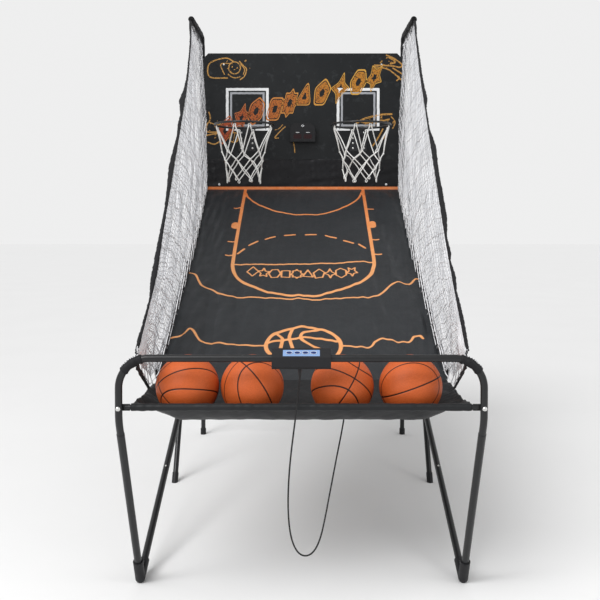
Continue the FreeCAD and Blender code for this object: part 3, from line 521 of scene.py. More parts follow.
FINISHES = {
    "frame_tube": TUBE, "cap_plastic": CAP, "zinc_steel": ZINC, "board_panel": BOARD, "rim_steel": RIM_COAT,
    "case_plastic": CASE, "window_tint": WINDOW, "electronics": CIRCUIT, "cell": CELL, "label_film": LABEL,
    "button_rubber": KEY, "cord_jacket": JACKET, "skirt_vinyl": SKIRT_VINYL, "net_cord": HOOP_CORD,
    "net_mesh": MESH_CORD, "court_fabric": COURT, "tray_fabric": TRAY_CLOTH, "ball_rubber": BALL,
}
for row in frame["record"]["subparts"]:
    mesh = nodes[row["node"]].data
    mesh.materials.clear()
    mesh.materials.append(FINISHES[row["material_slot"]])
nodes["cord_clip"].data.materials[0] = EDGING


# ---- the free cord ---------------------------------------------------------------------------

def nurbs(name, route, radius, material):
    """A smooth curve whose control points are the route."""
    data = bpy.data.curves.new(name, "CURVE")
    data.dimensions = "3D"
    spline = data.splines.new("NURBS")
    spline.points.add(len(route) - 1)
    for point, place in zip(spline.points, route):
        point.co = (*place, 1.0)
    spline.order_u = 3
    spline.use_endpoint_u = True
    spline.resolution_u = 12
    data.bevel_depth = radius
    data.bevel_resolution = 4
    data.use_fill_caps = True
    if material:
        data.materials.append(material)
    return add_object(name, data)


def read_line(curve):
    """The points of a curve that has no bevel."""
    bpy.context.view_layer.update()
    mesh = bpy.data.meshes.new_from_object(curve.evaluated_get(bpy.context.evaluated_depsgraph_get()))
    points = [tuple(v.co) for v in mesh.vertices]
    bpy.data.meshes.remove(mesh)
    return points


CORD_RADIUS = 0.00225
CORD_ROUTE = (
    (-0.004, -1.020, 0.677), (-0.007, -1.020, 0.641), (-0.013, -1.021, 0.589), (-0.0205, -1.022, 0.530),
    (-0.028, -1.0215, 0.470), (-0.0335, -1.020, 0.408), (-0.036, -1.018, 0.347), (-0.0345, -1.015, 0.290),
    (-0.0275, -1.011, 0.238), (-0.012, -1.006, 0.200), (0.010, -0.997, 0.184), (0.033, -0.984, 0.190),
    (0.051, -0.966, 0.218), (0.064, -0.940, 0.262), (0.077, -0.908, 0.316), (0.090, -0.873, 0.368),
    (0.1035, -0.834, 0.420), (0.117, -0.790, 0.467), (0.128, -0.742, 0.506), (0.134, -0.690, 0.532),
    (0.137, -0.644, 0.548), (0.137, -0.618, 0.554),
)
control_cord = nurbs("control_cord_line", CORD_ROUTE, CORD_RADIUS, JACKET)
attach(control_cord, "front_section")
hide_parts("control_cord")
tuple(CORD_ROUTE[0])


# ---- court cloth -----------------------------------------------------------------------------

COURT_LINE = np.array(((999, 1256), (350, 946), (0, 806), (-346, 664), (-567, 581)), float)
CLOTH_STEP = 4.5
CLOTH_THICK = 1.0
FLAP_RISE = 42
FLAP_LEAN = 8


def along_line(line, step):
    """Evenly spaced points along a line of straight runs."""
    line = np.asarray(line, float)
    lengths = np.r_[0, np.cumsum(np.linalg.norm(np.diff(line, axis=0), axis=1))]
    wanted = np.linspace(0, lengths[-1], max(2, int(round(lengths[-1] / step)) + 1))
    return np.stack([np.interp(wanted, lengths, line[:, k]) for k in range(line.shape[1])], axis=1)


def court_half(y):
    """Half the width of the flat of the cloth."""
    return np.interp(y, (-567, 400, 999), (466, 472, 486))


def court_height(y):
    """The height of the flat of the cloth."""
    return np.interp(y, COURT_LINE[::-1, 0], COURT_LINE[::-1, 1])


def slack(x, y):
    """How far the cloth lies off its flat: folds down the slope, deeper near the sides and the front."""
    near_side = smooth_step(0.25, 1.0, np.abs(x) / court_half(y))
    near_front = smooth_step(500, -560, y)
    folds = ripple(x, y * 0.16, 120, 3) + 0.5 * ripple(x, y * 0.2, 52, 4)
    wide = ripple(x, y, 420, 5)
    rear = smooth_step(820, 990, y)
    corner = np.sin((np.abs(x) + 0.9 * (y - 999)) / 17) * rear * near_side * 1.6
    depth = (0.8 + 2.6 * near_side + 1.9 * near_front) * folds + 1.1 * wide + corner
    depth = depth * smooth_step(-567, -500, y) * (1 - 0.6 * smooth_step(960, 999, y))
    return np.clip(depth, -2.6, 6.5) * (1 - 0.5 * smooth_step(0.97, 1.0, np.abs(x) / court_half(y))) + 0.6


slope_line = curve_through(np.insert(COURT_LINE, 0, 0, axis=1), 12)[:, 1:]
slope_line = slope_line[slope_line[:, 0] < 990]
turned_up = ((994.6, 1271), (994.4, 1262), (993.6, 1256.5))
stations = along_line(np.concatenate([turned_up, slope_line]), CLOTH_STEP)
half = court_half(stations[:, 0])
shares = np.linspace(-1, 1, int(2 * 472 / CLOTH_STEP) + 1)
flat_x = shares[None, :] * half[:, None]
flat_y = np.repeat(stations[:, :1], len(shares), axis=1)
flat_z = stations[:, 1:] + slack(flat_x, flat_y) * smooth_step(993, 980, flat_y)
climb = np.array((0.06, 0.14, 0.25, 0.38, 0.52, 0.66, 0.8, 0.91, 1.0))
top_rise = FLAP_RISE + 3.5 * ripple(stations[:, 0], 0, 90, 8)
sides = {}
for sign in (-1, 1):
    wave = 2.0 * ripple(stations[:, 0], 0, 70, 9 + sign)[:, None] * climb
    out = FLAP_LEAN * climb ** 0.7 + wave * 0.7 - 0.8
    edge_z = flat_z[:, 0 if sign < 0 else -1][:, None]
    sides[sign] = np.stack([sign * (half[:, None] + out), np.repeat(stations[:, :1], len(climb), axis=1),
                            edge_z + top_rise[:, None] * climb], axis=2)
flat_grid = np.stack([flat_x, flat_y, flat_z], axis=2)
court_grid = np.concatenate([sides[-1][:, ::-1], flat_grid, sides[1]], axis=1)
court = Shape().sheet(court_grid[:, ::-1], CLOTH_THICK)


def oval(x, y, a, b, count=36):
    """A closed line round an ellipse, from its centre and half-widths."""
    angles = np.arange(count + 1) * 2 * math.pi / count
    return np.stack([x + a * np.cos(angles), y + b * np.sin(angles)], axis=1)


def radial(centre, corners, turn, inner, size, tall=1.0):
    """A closed outline: a polygon, or a star where inner is under one."""
    out = []
    count = corners * (2 if inner < 1 else 1)
    for k in range(count):
        radius = size * (inner if k % 2 else 1)
        angle = turn + 2 * math.pi * k / count
        out.append((centre[0] + radius * math.cos(angle), centre[1] + radius * tall * math.sin(angle)))
    return out + out[:1]


# Printed lines in plan view: (half-width, points). A smooth line passes through them.
LINES = [
    (8, [(-495, 1000), (-295, 1000), (495, 1000)]),
    (7.5, [(-290, 990), (-295, 640), (-295, 320), (-290, 235), (-270, 160), (-230, 100), (-155, 30),
           (-80, 0), (-5, -10), (75, 0), (150, 45), (230, 105), (275, 165), (295, 235), (305, 320),
           (305, 640), (305, 990)]),
    (5, [(-285, 950), (-265, 890), (-205, 820), (-130, 765), (-55, 735), (15, 730), (90, 735), (165, 775),
         (225, 830), (275, 895), (300, 965)]),
    (5, [(-285, 270), (-50, 270), (145, 280), (240, 295), (295, 285)]),
    (5, [(-280, 365), (-255, 405)]), (5, [(-235, 435), (-200, 470)]), (5, [(-165, 490), (-125, 515)]),
    (5, [(-80, 525), (-35, 535)]), (5, [(15, 535), (60, 535)]), (5, [(105, 525), (150, 505)]),
    (5, [(185, 480), (225, 460)]), (5, [(250, 450), (275, 415)]),
    (4.5, [(-330, 795), (-295, 795)]), (4.5, [(-330, 470), (-295, 470)]), (4.5, [(-330, 350), (-300, 350)]),
    (4.5, [(310, 780), (340, 780)]), (4.5, [(310, 490), (340, 485)]), (4.5, [(305, 365), (340, 355)]),
    (19, [(-311, 614), (-311, 636)]), (16, [(324, 611), (324, 639)]),
    (4.5, [(-465, 190), (-440, 180), (-415, 115), (-395, 70), (-355, 45), (-320, 5), (-280, -15), (-225, -20),
           (-105, -30), (-5, -35), (100, -35), (180, -20), (250, -20), (290, -5), (320, 30), (350, 80),
           (380, 105), (425, 90), (455, 135), (470, 135)]),
    (4.5, [(-465, -310), (-420, -280), (-405, -255), (-390, -265), (-365, -315), (-335, -335), (-255, -350),
           (-130, -355)]),
    (4.5, [(140, -360), (230, -365), (255, -335), (285, -315), (330, -330), (375, -330), (395, -300),
           (415, -295), (425, -315)]),
    (7, oval(5, -355, 130, 120)),
    (6, [(-120, -340), (-85, -325), (-40, -310), (30, -305), (80, -315), (120, -330)]),
    (6, [(-35, -245), (-45, -295), (-40, -330), (-30, -380)]),
    (6, [(-90, -280), (-70, -305), (-70, -330), (-75, -380)]),
    (6, [(65, -250), (10, -270), (-5, -300), (10, -335), (65, -380)]),
]
# A row of plain outlined shapes: corners, turn, inner radius share.
EMBLEMS = ((4, 0.0, 1.0), (5, 1.57, 0.5), (6, 0.0, 1.0), (4, 0.785, 1.0), (8, 0.0, 0.72), (3, 1.57, 1.0),
           (5, 1.57, 1.0), (4, 0.0, 0.45), (6, 0.52, 1.0), (5, -1.57, 0.5))
ROW_HALF, ROW_Y, ROW_BOW, EMBLEM_LINE, EMBLEM_R, EMBLEM_TALL = 205, 204, 26, 3.2, 24, 1.75
COURT_LINES = [(width, line if len(line) < 3 else curve_through([(*p, 0) for p in line], 4)[:, :2])
               for width, line in LINES]
for x, (corners, turn, inner) in zip(np.linspace(-ROW_HALF, ROW_HALF, len(EMBLEMS)), EMBLEMS):
    centre = (x, ROW_Y - ROW_BOW * (1 - (x / ROW_HALF) ** 2))
    COURT_LINES.append((EMBLEM_LINE, radial(centre, corners, turn, inner, EMBLEM_R, EMBLEM_TALL)))


def run_distance(points, line):
    """The distance from points to a line of straight runs, in plan."""
    best = np.full(len(points), 1e6)
    line = np.asarray(line, float)
    for a, b in zip(line, line[1:]):
        run = b - a
        share = np.clip((points - a) @ run / max(run @ run, 1e-9), 0, 1)
        best = np.minimum(best, np.linalg.norm(points - a - share[:, None] * run, axis=1))
    return best


# How far each point of the cloth is from the print's edge: below zero is inked, FAR is well outside.
FAR, LINE_REACH = 60.0, 40
plan = np.concatenate(court.points)[:, :2]
printed = np.full(len(plan), FAR)
for width, line in COURT_LINES:
    low, high = np.min(line, axis=0) - LINE_REACH, np.max(line, axis=0) + LINE_REACH
    near = np.all((plan > low) & (plan < high), axis=1)
    printed[near] = np.minimum(printed[near], run_distance(plan[near], line) - width)
on_flap = np.ones(len(plan), bool)
on_flap.reshape(2, len(stations), -1)[:, :, len(climb):-len(climb)] = False
printed[on_flap] = FAR
court_piece = court.piece("court_cloth_sheet", COURT, EDGING, slot="court_fabric")
court_piece.data.attributes.new("print_mm", "FLOAT", "POINT").data.foreach_set("value", printed)
for polygon in court_piece.data.polygons:
    if all(on_flap[v] for v in polygon.vertices):
        polygon.material_index = 1
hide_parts("court_cloth")
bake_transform(court_piece)


# ---- the scoreboard's lead, held under the court ---------------------------------------------

LEAD_ROUTE = (
    (0.137, -0.562, 0.572), (0.137, -0.346, 0.653), (0.130, 0.0, 0.795), (0.116, 0.350, 0.935),
    (0.070, 0.905, 1.200), (0.044, 0.975, 1.231), (0.036, 1.0075, 1.243), (0.033, 1.0075, 1.276),
    (0.030, 1.0165, 1.315), (0.012, 1.017, 1.440), (0.0, 1.017, 1.540), (0.0, 0.9932, 1.540),
)
lead_guide = nurbs("lead_guide", LEAD_ROUTE, 0.0, None)
lead_line = along_line(np.array(read_line(lead_guide)) / MM, 8.0)
bpy.data.objects.remove(lead_guide)
lead = Shape().tube(lead_line, CORD_RADIUS / MM, 12)
lead_piece = lead.piece("score_lead_line", JACKET, slot="cord_jacket")
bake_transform(lead_piece)
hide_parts("score_lead")


# ---- ball trough -----------------------------------------------------------------------------

TRAY_Y, TRAY_Z, SLEEVE_R = -999, 591, 8.6
wrap = np.radians(np.linspace(-20, 292, 26))
around = np.stack([TRAY_Y + SLEEVE_R * np.cos(wrap), TRAY_Z + SLEEVE_R * np.sin(wrap)], axis=1)
floor_line = ((-560, 583.2), (-600, 573.5), (-733, 545.6), (-800, 537.0), (-850, 534.6), (-884, 534.2),
              (-906, 536.2), (-930, 544.4), (-950, 554.5), (-972, 569.5), (-984, 578.5))
side_line = np.concatenate([curve_through([(0, *p) for p in floor_line], 6)[:, 1:], around])
side_line = along_line(side_line, 4.0)
half = np.interp(side_line[:, 0], (-1010, -985, -860, -706, -560), (457, 457, 453, 463, 467))
shares = np.linspace(-1, 1, 221)
tray_x = shares[None, :] * half[:, None]
tray_y = np.repeat(side_line[:, :1], len(shares), axis=1)
tray_z = np.repeat(side_line[:, 1:], len(shares), axis=1)
in_sleeve = np.hypot(tray_y - TRAY_Y, tray_z - TRAY_Z) < SLEEVE_R + 0.6
# The ends of the cloth rise in a hammock's curve from the outer balls to the frame.
RISE_FROM, RISE_RUN = 332, 124
hammock = (np.clip(np.abs(tray_x) - RISE_FROM, 0, None) / RISE_RUN) ** 1.4
end_top = np.interp(tray_y, (-985, -860, -706, -560), (597, 594, 583, 584))
end_share = np.clip(hammock, 0, 1.02) * smooth_step(-562, -640, tray_y)
lift = np.where(in_sleeve, 0, end_share * np.maximum(end_top - tray_z, 0))
crumple = ripple(tray_x * 1.2, tray_y * 0.7, 95, 21) + 0.5 * ripple(tray_x, tray_y, 38, 22)
corner = smooth_step(0.86, 0.97, np.abs(tray_x) / half[:, None])
drop = np.where(in_sleeve, 0, -1.0 * (1 + np.clip(crumple, -1, 1)) * (1 - corner) + corner * 3.4 * crumple)
drop = drop * smooth_step(-562, -600, tray_y) * smooth_step(-992, -960, tray_y)
gather = np.where(in_sleeve, 0.5 * ripple(tray_x * 1.0, tray_z * 0.3, 24, 23) + 0.5, 0)
angle = np.arctan2(tray_z - TRAY_Z, tray_y - TRAY_Y)
tray_y = tray_y + gather * np.cos(angle)
tray_z = tray_z + gather * np.sin(angle) + lift + drop
tray_y = tray_y + np.where(in_sleeve, 0, corner * 2.5 * ripple(tray_x, tray_y, 60, 24))
tray = Shape().sheet(np.stack([tray_x, tray_y, tray_z], axis=2)[:, ::-1], 1.0)
tray_piece = tray.piece("ball_trough_sheet", TRAY_CLOTH, slot="tray_fabric")
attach(tray_piece, "front_section")
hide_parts("ball_trough")


# ---- side nets -------------------------------------------------------------------------------

POST_TOP, ARM_TIP, POST_BEND = np.array((512.0, 1022.0, 2033.0)), np.array((525.0, 707.0, 2047.0)), 60
# The bend of the front hoop at the corner: the place of its centre and its radius.
BEND_X, BEND_Y, BEND_Z, BEND_R = 408, -1012, 645, 80
BOLD_R, FINE_R = 1.7, 0.9
EDGE_SIDES = 14
# The net's edges in side view, front to rear: (Y, X, Z).
LOW_EDGE = np.array(((-998, 446, 716), (-850, 457, 655), (-700, 465, 585), (-567, 463, 584), (-346, 464, 667),
                     (0, 466, 809), (350, 468, 949), (700, 476, 1116), (995, 484, 1258)), float)
HIGH_EDGE = np.array(((-990, 446, 743), (-752, 450, 925), (-565, 456, 1069), (131, 482, 1604),
                      (400, 500, 1811), (640, 520, 1992), (707, 525, 2036), (995, 509, 1990)), float)

# Half the width of the black edging along the top of each net, by Y: it is gathered unevenly.
EDGE_WIDTH = {
    "left": ((-990, 5), (-955, 5.5), (-925, 4), (-830, 3.2), (-750, 9), (-690, 8), (-605, 6.5),
             (-500, 5), (-410, 6), (-290, 10), (-210, 8), (-130, 5), (-47, 7), (0, 5), (50, 9), (90, 12),
             (160, 7), (235, 4.2), (380, 3.6), (570, 3.6), (650, 6), (707, 6)),
    "right": ((-990, 5), (-935, 5.5), (-862, 5.5), (-800, 3.7), (-752, 6.5), (-690, 3), (-665, 5.5),
              (-605, 3.6), (-520, 9), (-410, 8.5), (-360, 8), (-285, 8), (-185, 10), (-80, 3.6),
              (40, 3.2), (100, 8), (235, 5.5), (400, 5), (570, 3.6), (650, 6), (707, 6)),
}
# How far the top edge of each net has slipped to the right of its even place, by Y.
SLIP = {"left": ((-990, 4), (-750, 15), (-565, 12), (131, 11), (500, 8), (707, 0)),
        "right": ((-990, 0), (-565, 0), (131, 6), (500, 2), (707, 0))}


def slipped(sign, y):
    """How far the top edge of one side's net has slipped to the right."""
    return np.interp(y, *np.array(SLIP["left" if sign < 0 else "right"], float).T)


def net_low(y):
    """The height of the net's lower edge."""
    return np.interp(y, LOW_EDGE[:, 0], LOW_EDGE[:, 2])


def net_high(y):
    """The height of the net's upper edge."""
    return np.interp(y, HIGH_EDGE[:, 0], HIGH_EDGE[:, 2])


def net_place(sign, y, z):
    """A point of the net at a height over a place along the machine."""
    y, z = np.asarray(y, float), np.asarray(z, float)
    low, high = net_low(y), net_high(y)
    share = np.clip((z - low) / np.maximum(high - low, 1), 0, 1)
    x_low = np.interp(y, LOW_EDGE[:, 0], LOW_EDGE[:, 1])
    x_high = np.interp(y, HIGH_EDGE[:, 0], HIGH_EDGE[:, 1])
    slackness = np.sin(math.pi * share)
    x = x_low + (x_high - x_low) * share + slackness * (3.0 * ripple(y, z, 300, 31) - 6.0)
    dy = 5.0 * ripple(y, z, 130, 32) + 2.5 * ripple(y, z, 55, 33)
    dz = 6.5 * ripple(y, z, 150, 34) + 3.0 * ripple(y, z, 60, 35)
    held = np.minimum(1, 6 * np.minimum(share, 1 - share))
    return np.stack([sign * x + slipped(sign, y) * share, y + dy * held, z + dz * held], axis=-1)


# The mesh is stretched lengthways: its cords fall toward the front in one direction and rise in the other.
# Each slope is the share of the net's height that a cord crosses in a metre, at the front and at the rear.
FALL = ((-600, 0.08), (0, 0.45), (700, 1.0))
RISE = ((-600, 1.55), (0, 1.15), (700, 0.75))
FALL_GAP, RISE_GAP = 0.075, 0.10
FINE_GAP, FINE_FOOT = 0.027, 0.09
NET_STEP = 14.0


def net_cords(slopes, gap, turn, foot=0.0):
    """Cords of one direction, each a list of (Y, share of height) inside the net."""
    stations = np.arange(994, -997, -NET_STEP)
    rates = np.interp(-stations, [-p[0] for p in slopes][::-1], [p[1] for p in slopes][::-1]) * turn
    travel = np.r_[0, np.cumsum(rates[:-1] * NET_STEP * MM)]
    low, high = min(travel.min(), 0), max(travel.max(), 0)
    for start in np.arange(-high - gap, 1 - low + gap, gap):
        share = start + gap * 0.37 + travel
        inside = (share > foot) & (share < 1.0)
        if inside.sum() < 2:
            continue
        first, last = np.flatnonzero(inside)[[0, -1]]
        run = [(stations[i], share[i]) for i in range(first, last + 1)]
        for i, j, place in ((first, first - 1, 0), (last, last + 1, len(run) + 1)):
            if 0 <= j < len(stations):
                edge = foot if share[j] <= foot else 1.0
                part = (edge - share[i]) / (share[j] - share[i])
                run.insert(place, (stations[i] + (stations[j] - stations[i]) * part, edge))
        yield run


def pocket_low(sign, shares):
    """The sagging lower edge of the pocket under a net arm."""
    line = between((sign * 523, 726, 2006), (sign * 510, 1010, 1982), shares)
    line[:, 2] -= 9 * np.sin(math.pi * shares)
    return line


bold_runs = [*net_cords(FALL, FALL_GAP, -1), *net_cords(RISE, RISE_GAP, 1)]
fine_runs = [*net_cords(FALL, FINE_GAP, -1, FINE_FOOT), *net_cords(RISE, FINE_GAP, 1, FINE_FOOT)]
for sign, side in ((-1, "left"), (1, "right")):
    mesh_net, filling = Shape(), Shape()
    for runs, shape, thick, sides in ((bold_runs, mesh_net, BOLD_R, 6), (fine_runs, filling, FINE_R, 4)):
        for run in runs:
            y, share = np.array(run).T
            line = net_place(sign, y, net_low(y) + share * (net_high(y) - net_low(y)))
            shape.tube(line, thick, sides)
    fill = filling.piece("side_net_filling_" + side, SHADED_FINE_CORD, slot="net_mesh")
    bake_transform(fill)
    net = mesh_net.piece("side_net_strands_" + side, MESH_CORD, slot="net_mesh")
    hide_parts("side_net_" + side)
    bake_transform(net)

    # The gathered black edging along the top of the net, and the hem down its front.
    edge_line = along_line(curve_through([(sign * x, y, z) for y, x, z in HIGH_EDGE[:7]], 70), 3.2)
    travel = np.arange(len(edge_line)) * 3.2
    width = np.interp(edge_line[:, 1], *np.array(EDGE_WIDTH[side], float).T)
    width = width + 0.35 * ripple(travel, 0, 15, 42)
    edge_line[:, 0] += slipped(sign, edge_line[:, 1]) + sign * (width - 3.5)
    turns = np.arange(EDGE_SIDES) * 2 * math.pi / EDGE_SIDES
    flatness = np.clip(5.2 / width, 0.4, 1.0)[:, None]
    oval_share = np.sqrt(np.cos(turns) ** 2 + (flatness * np.sin(turns)) ** 2)
    lumps = lumpy(travel, EDGE_SIDES, 0.10, 9, 20, 43) * oval_share
    edging = Shape().tube(edge_line, width, EDGE_SIDES, first=(1, 0, 0), lumps=lumps)
    edge_piece = edging.piece("net_edging_" + side, EDGING, slot="court_fabric")
    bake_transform(edge_piece)

    # The front of the net is tied round the bend of the front hoop with a black sleeve.
    bend = np.radians(np.linspace(78, 33, 22))
    sleeve_line = np.stack([sign * (BEND_X + BEND_R * np.cos(bend)), 0 * bend + BEND_Y,
                            BEND_Z + BEND_R * np.sin(bend)], axis=1)
    travel = np.arange(len(bend)) * 3.0
    sleeve_thick = 12.2 + 0.8 * ripple(travel, 0, 22, 44)
    sleeve_thick[[0, -1]] = 11.0
    strap = Shape().tube(sleeve_line, sleeve_thick, 20, lumps=lumpy(travel, 20, 0.06, 14, 30, 45))
    hem = np.linspace(0, 1, 46)
    hem_line = between((sign * 441, -1000, 705), (sign * 464, -706, 584), hem)
    hem_line[:, 2] -= 2 * np.sin(math.pi * hem)
    hem_height = np.interp(hem, (0, 0.5, 1), (9, 6.5, 5)) * (1.35 if sign < 0 else 1.0)
    hem_rows = np.linspace(-1, 1, 7)
    hem_grid = hem_line[:, None, :] + np.zeros((1, 7, 1))
    hem_grid[:, :, 2] += hem_rows * hem_height[:, None]
    hem_grid[:, :, 0] += sign * (1.4 * ripple(hem[:, None] * 300, hem_rows[None, :] * 12, 45, 46)
                                 + 1.5 * hem_rows[None, :] ** 2)
    strap.sheet(hem_grid if sign > 0 else hem_grid[:, ::-1], 1.6)
    for k, lean in enumerate((-12, -2, 9, 18)):
        tie_line = between((sign * (438 + 0.3 * lean), -1004, 728 + lean * 0.6),
                           (sign * 447, -984 + 4 * k, 737 + lean * 0.2), np.linspace(0, 1, 8))
        strap.tube(tie_line, 2.4, 6)
    strap_piece = outward(strap.piece("net_corner_" + side, EDGING, slot="court_fabric"))
    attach(strap_piece, "front_section")

    # The net's last cords, drawn together at the corner and tied round the hoop.
    ends = Shape()
    draw = np.random.default_rng(51 if sign < 0 else 52)
    for k in range(13):
        share = k / 12
        start = np.array((sign * (440 + 16 * share), -1001 + draw.uniform(-2, 2), 741 - 34 * share))
        finish = net_place(sign, -962 + 22 * draw.uniform(-1, 1), 757 - 62 * share)
        middle = (start + finish) / 2 + draw.uniform(-4, 4, 3)
        ends.tube(curve_through([start, middle, finish], 5), 1.3, 5)
    for k in range(9):
        turn_angle = math.radians(72 - 4.2 * k + draw.uniform(-1, 1))
        out = np.array((sign * math.cos(turn_angle), 0, math.sin(turn_angle)))
        centre = np.array((sign * BEND_X, BEND_Y, BEND_Z)) + BEND_R * out
        bow = np.radians(np.linspace(-30, 100, 9))
        loop = centre + 14.6 * (np.cos(bow)[:, None] * out + np.sin(bow)[:, None] * np.array((0, 1, 0)))
        ends.tube(loop, 1.2, 5)
    ends_piece = ends.piece("net_ends_" + side, MESH_CORD, slot="net_mesh")
    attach(ends_piece, "front_section")

    # The lacing along the turned-up edge of the court.
    lacing = Shape()
    for k, y in enumerate(np.linspace(-545, 955, 41)):
        w, z = float(court_half(y)), float(court_height(y))
        lean = 9 if k % 2 else -9
        rise = np.array((10.0, 20.0, 31.0))
        x_out = w + FLAP_LEAN * (rise / FLAP_RISE) ** 0.7 - 3.2
        lacing.tube(np.stack([sign * x_out, y + lean * (rise - 20) / 10, z + rise], axis=1), 1.7, 6)
    lacing_piece = lacing.piece("net_lacing_" + side, MESH_CORD, slot="net_mesh")
    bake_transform(lacing_piece)

    # The black sleeve over the top of the post and the net arm, with its three-cornered pocket.
    post_line = [(*POST_TOP[:2], z) for z in (1882, 1910, 1940)]
    enter, leave = POST_TOP - np.array((0, 0, POST_BEND)), POST_TOP + unit(ARM_TIP - POST_TOP) * POST_BEND
    for t in np.linspace(0, 1, 12):
        post_line.append(tuple((1 - t) ** 2 * enter + 2 * t * (1 - t) * POST_TOP + t ** 2 * leave))
    for t in np.linspace(0.25, 1, 14):
        post_line.append(tuple(POST_TOP + (ARM_TIP - POST_TOP) * t))
    post_line = np.array(post_line)
    post_line[:, 0] *= sign
    post_line = along_line(post_line, 4.0)
    travel = np.arange(len(post_line)) * 4.0
    post_thick = 14.0 + 0.7 * ripple(travel, 0, 50, 48)
    post_thick[[0, -1]] = 12.5
    cover = Shape().tube(post_line, post_thick, 22, lumps=lumpy(travel, 22, 0.035, 16, 46, 47))
    top_line = between((sign * 525, 712, 2040), (sign * 512, 1012, 2026), np.linspace(0, 1, 60))
    low_line = pocket_low(sign, np.linspace(0, 1, 60))
    down = np.linspace(0, 1, 12)[None, :, None]
    pocket = top_line[:, None] * (1 - down) + low_line[:, None] * down
    pocket[:, :, 0] += sign * 2.0 * ripple(pocket[:, :, 1], pocket[:, :, 2], 70, 49) * down[:, :, 0]
    cover.sheet(pocket if sign < 0 else pocket[:, ::-1], 1.6)
    cover.tube(low_line, 2.6, 8)
    cover_piece = outward(cover.piece("net_arm_cover_" + side, EDGING, slot="court_fabric"))
    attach(cover_piece, "root")
    stitches = Shape()
    for centre in pocket_low(sign, np.linspace(0.04, 0.96, 22)) + (-sign * 2.6, 0, 3):
        stitch = [centre + (0, -3.2, -3.4), centre + (-sign * 0.8, 0, 0), centre + (0, 3.2, 3.4)]
        stitches.tube(stitch, 1.0, 5)
    stitches_piece = stitches.piece("net_arm_stitches_" + side, MESH_CORD, slot="net_mesh")
    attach(stitches_piece, "root")


# ---- hoop nets -------------------------------------------------------------------------------

RIM_X, RIM_Y = 283, 797
HOOK_ANGLES = (15, 75, 105, 165, 195, 255, 285, 345)
LOOPS = len(HOOK_ANGLES)
HOOK_R, HOOK_Z, STRAND_R, BOTTOM_R, BOTTOM_Z = 134.5, 1550.5, 2.6, 82, 1299
# Rows of knots: (height, radius, turn from the hook before it).
NET_ROWS = ((1427, 105, 22.5), (1390, 98, 0), (1347, 86, 22.5))
for sign, side in ((-1, "left"), (1, "right")):
    draw = np.random.default_rng(61 if sign < 0 else 62)

    centre_line = np.array((sign * RIM_X, RIM_Y, 0))
    hoop_net = Shape()

    def spot(radius, degrees, z, loose):
        """A place round the rim's axis, a little off by chance."""
        angle = math.radians(degrees)
        jitter = draw.normal(0, loose / 2, 3)
        return centre_line + (radius * math.cos(angle), radius * math.sin(angle), z) + jitter

    def level_round(place):
        """The level direction round the rim's axis at a place."""
        out = unit((place - centre_line) * (1, 1, 0))
        return np.array((-out[1], out[0], 0))

    def strand(a, b, bow=3.0):
        """A cord from one knot to another, bowed toward the rim's axis."""
        middle = (a + b) / 2
        middle = middle - unit((middle - centre_line) * (1, 1, 0)) * bow + draw.normal(0, 1.0, 3)
        hoop_net.tube(curve_through([a, middle, b], 5), STRAND_R, 10)

    def knot(at, size=4.9):
        """A small rounded knot."""
        profile = np.array(((0, -1), (0.7, -0.7), (0.95, 0), (0.75, 0.65), (0, 1))) * size
        hoop_net.lathe(profile, at, (0.2, 0.1, 1), 10)

    hooks = [spot(HOOK_R, angle, HOOK_Z, 0.3) for angle in HOOK_ANGLES]
    rows = [[spot(radius, 45 * k + 22.5 + turn, z, 6.0) for k in range(LOOPS)]
            for z, radius, turn in NET_ROWS]
    for k, hook in enumerate(hooks):
        across, turn = level_round(hook), np.radians(np.linspace(-50, 230, 12))[:, None]
        loop = hook + across * 5.2 * np.cos(turn) + np.array((0, 0, 1)) * (4.6 * np.sin(turn) - 3.2)
        hoop_net.tube(loop, 2.5, 10)
        strand(loop[0], rows[0][k])
        strand(loop[-1], rows[0][k - 1])
        strand(rows[0][k], rows[1][k])
        strand(rows[0][k], rows[1][(k + 1) % LOOPS])
        strand(rows[1][k], rows[2][k], 1.0)
        strand(rows[1][k], rows[2][k - 1], 1.0)
    for row in rows:
        for at in row:
            knot(at)
    for k in range(LOOPS):
        low = BOTTOM_Z + draw.uniform(-9, 12)
        bottom = spot(BOTTOM_R, 45 * k + 67.5, low, 5.0)
        strand(rows[2][k], bottom, 0.5)
        strand(rows[2][(k + 1) % LOOPS], bottom, 0.5)
        knot(bottom, 4.6)
        turn = (np.arange(14) * math.pi / 7)[:, None]
        eye = bottom + level_round(bottom) * 5.0 * np.sin(turn)
        hoop_net.tube(eye + np.array((0, 0, 1)) * (6.0 * np.cos(turn) - 7.5), 2.3, 8, closed=True)
    net = outward(hoop_net.piece("hoop_net_cords_" + side, HOOP_CORD, slot="net_cord"))
    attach(net, "root")
    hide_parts("hoop_net_" + side)


# ---- balls -----------------------------------------------------------------------------------

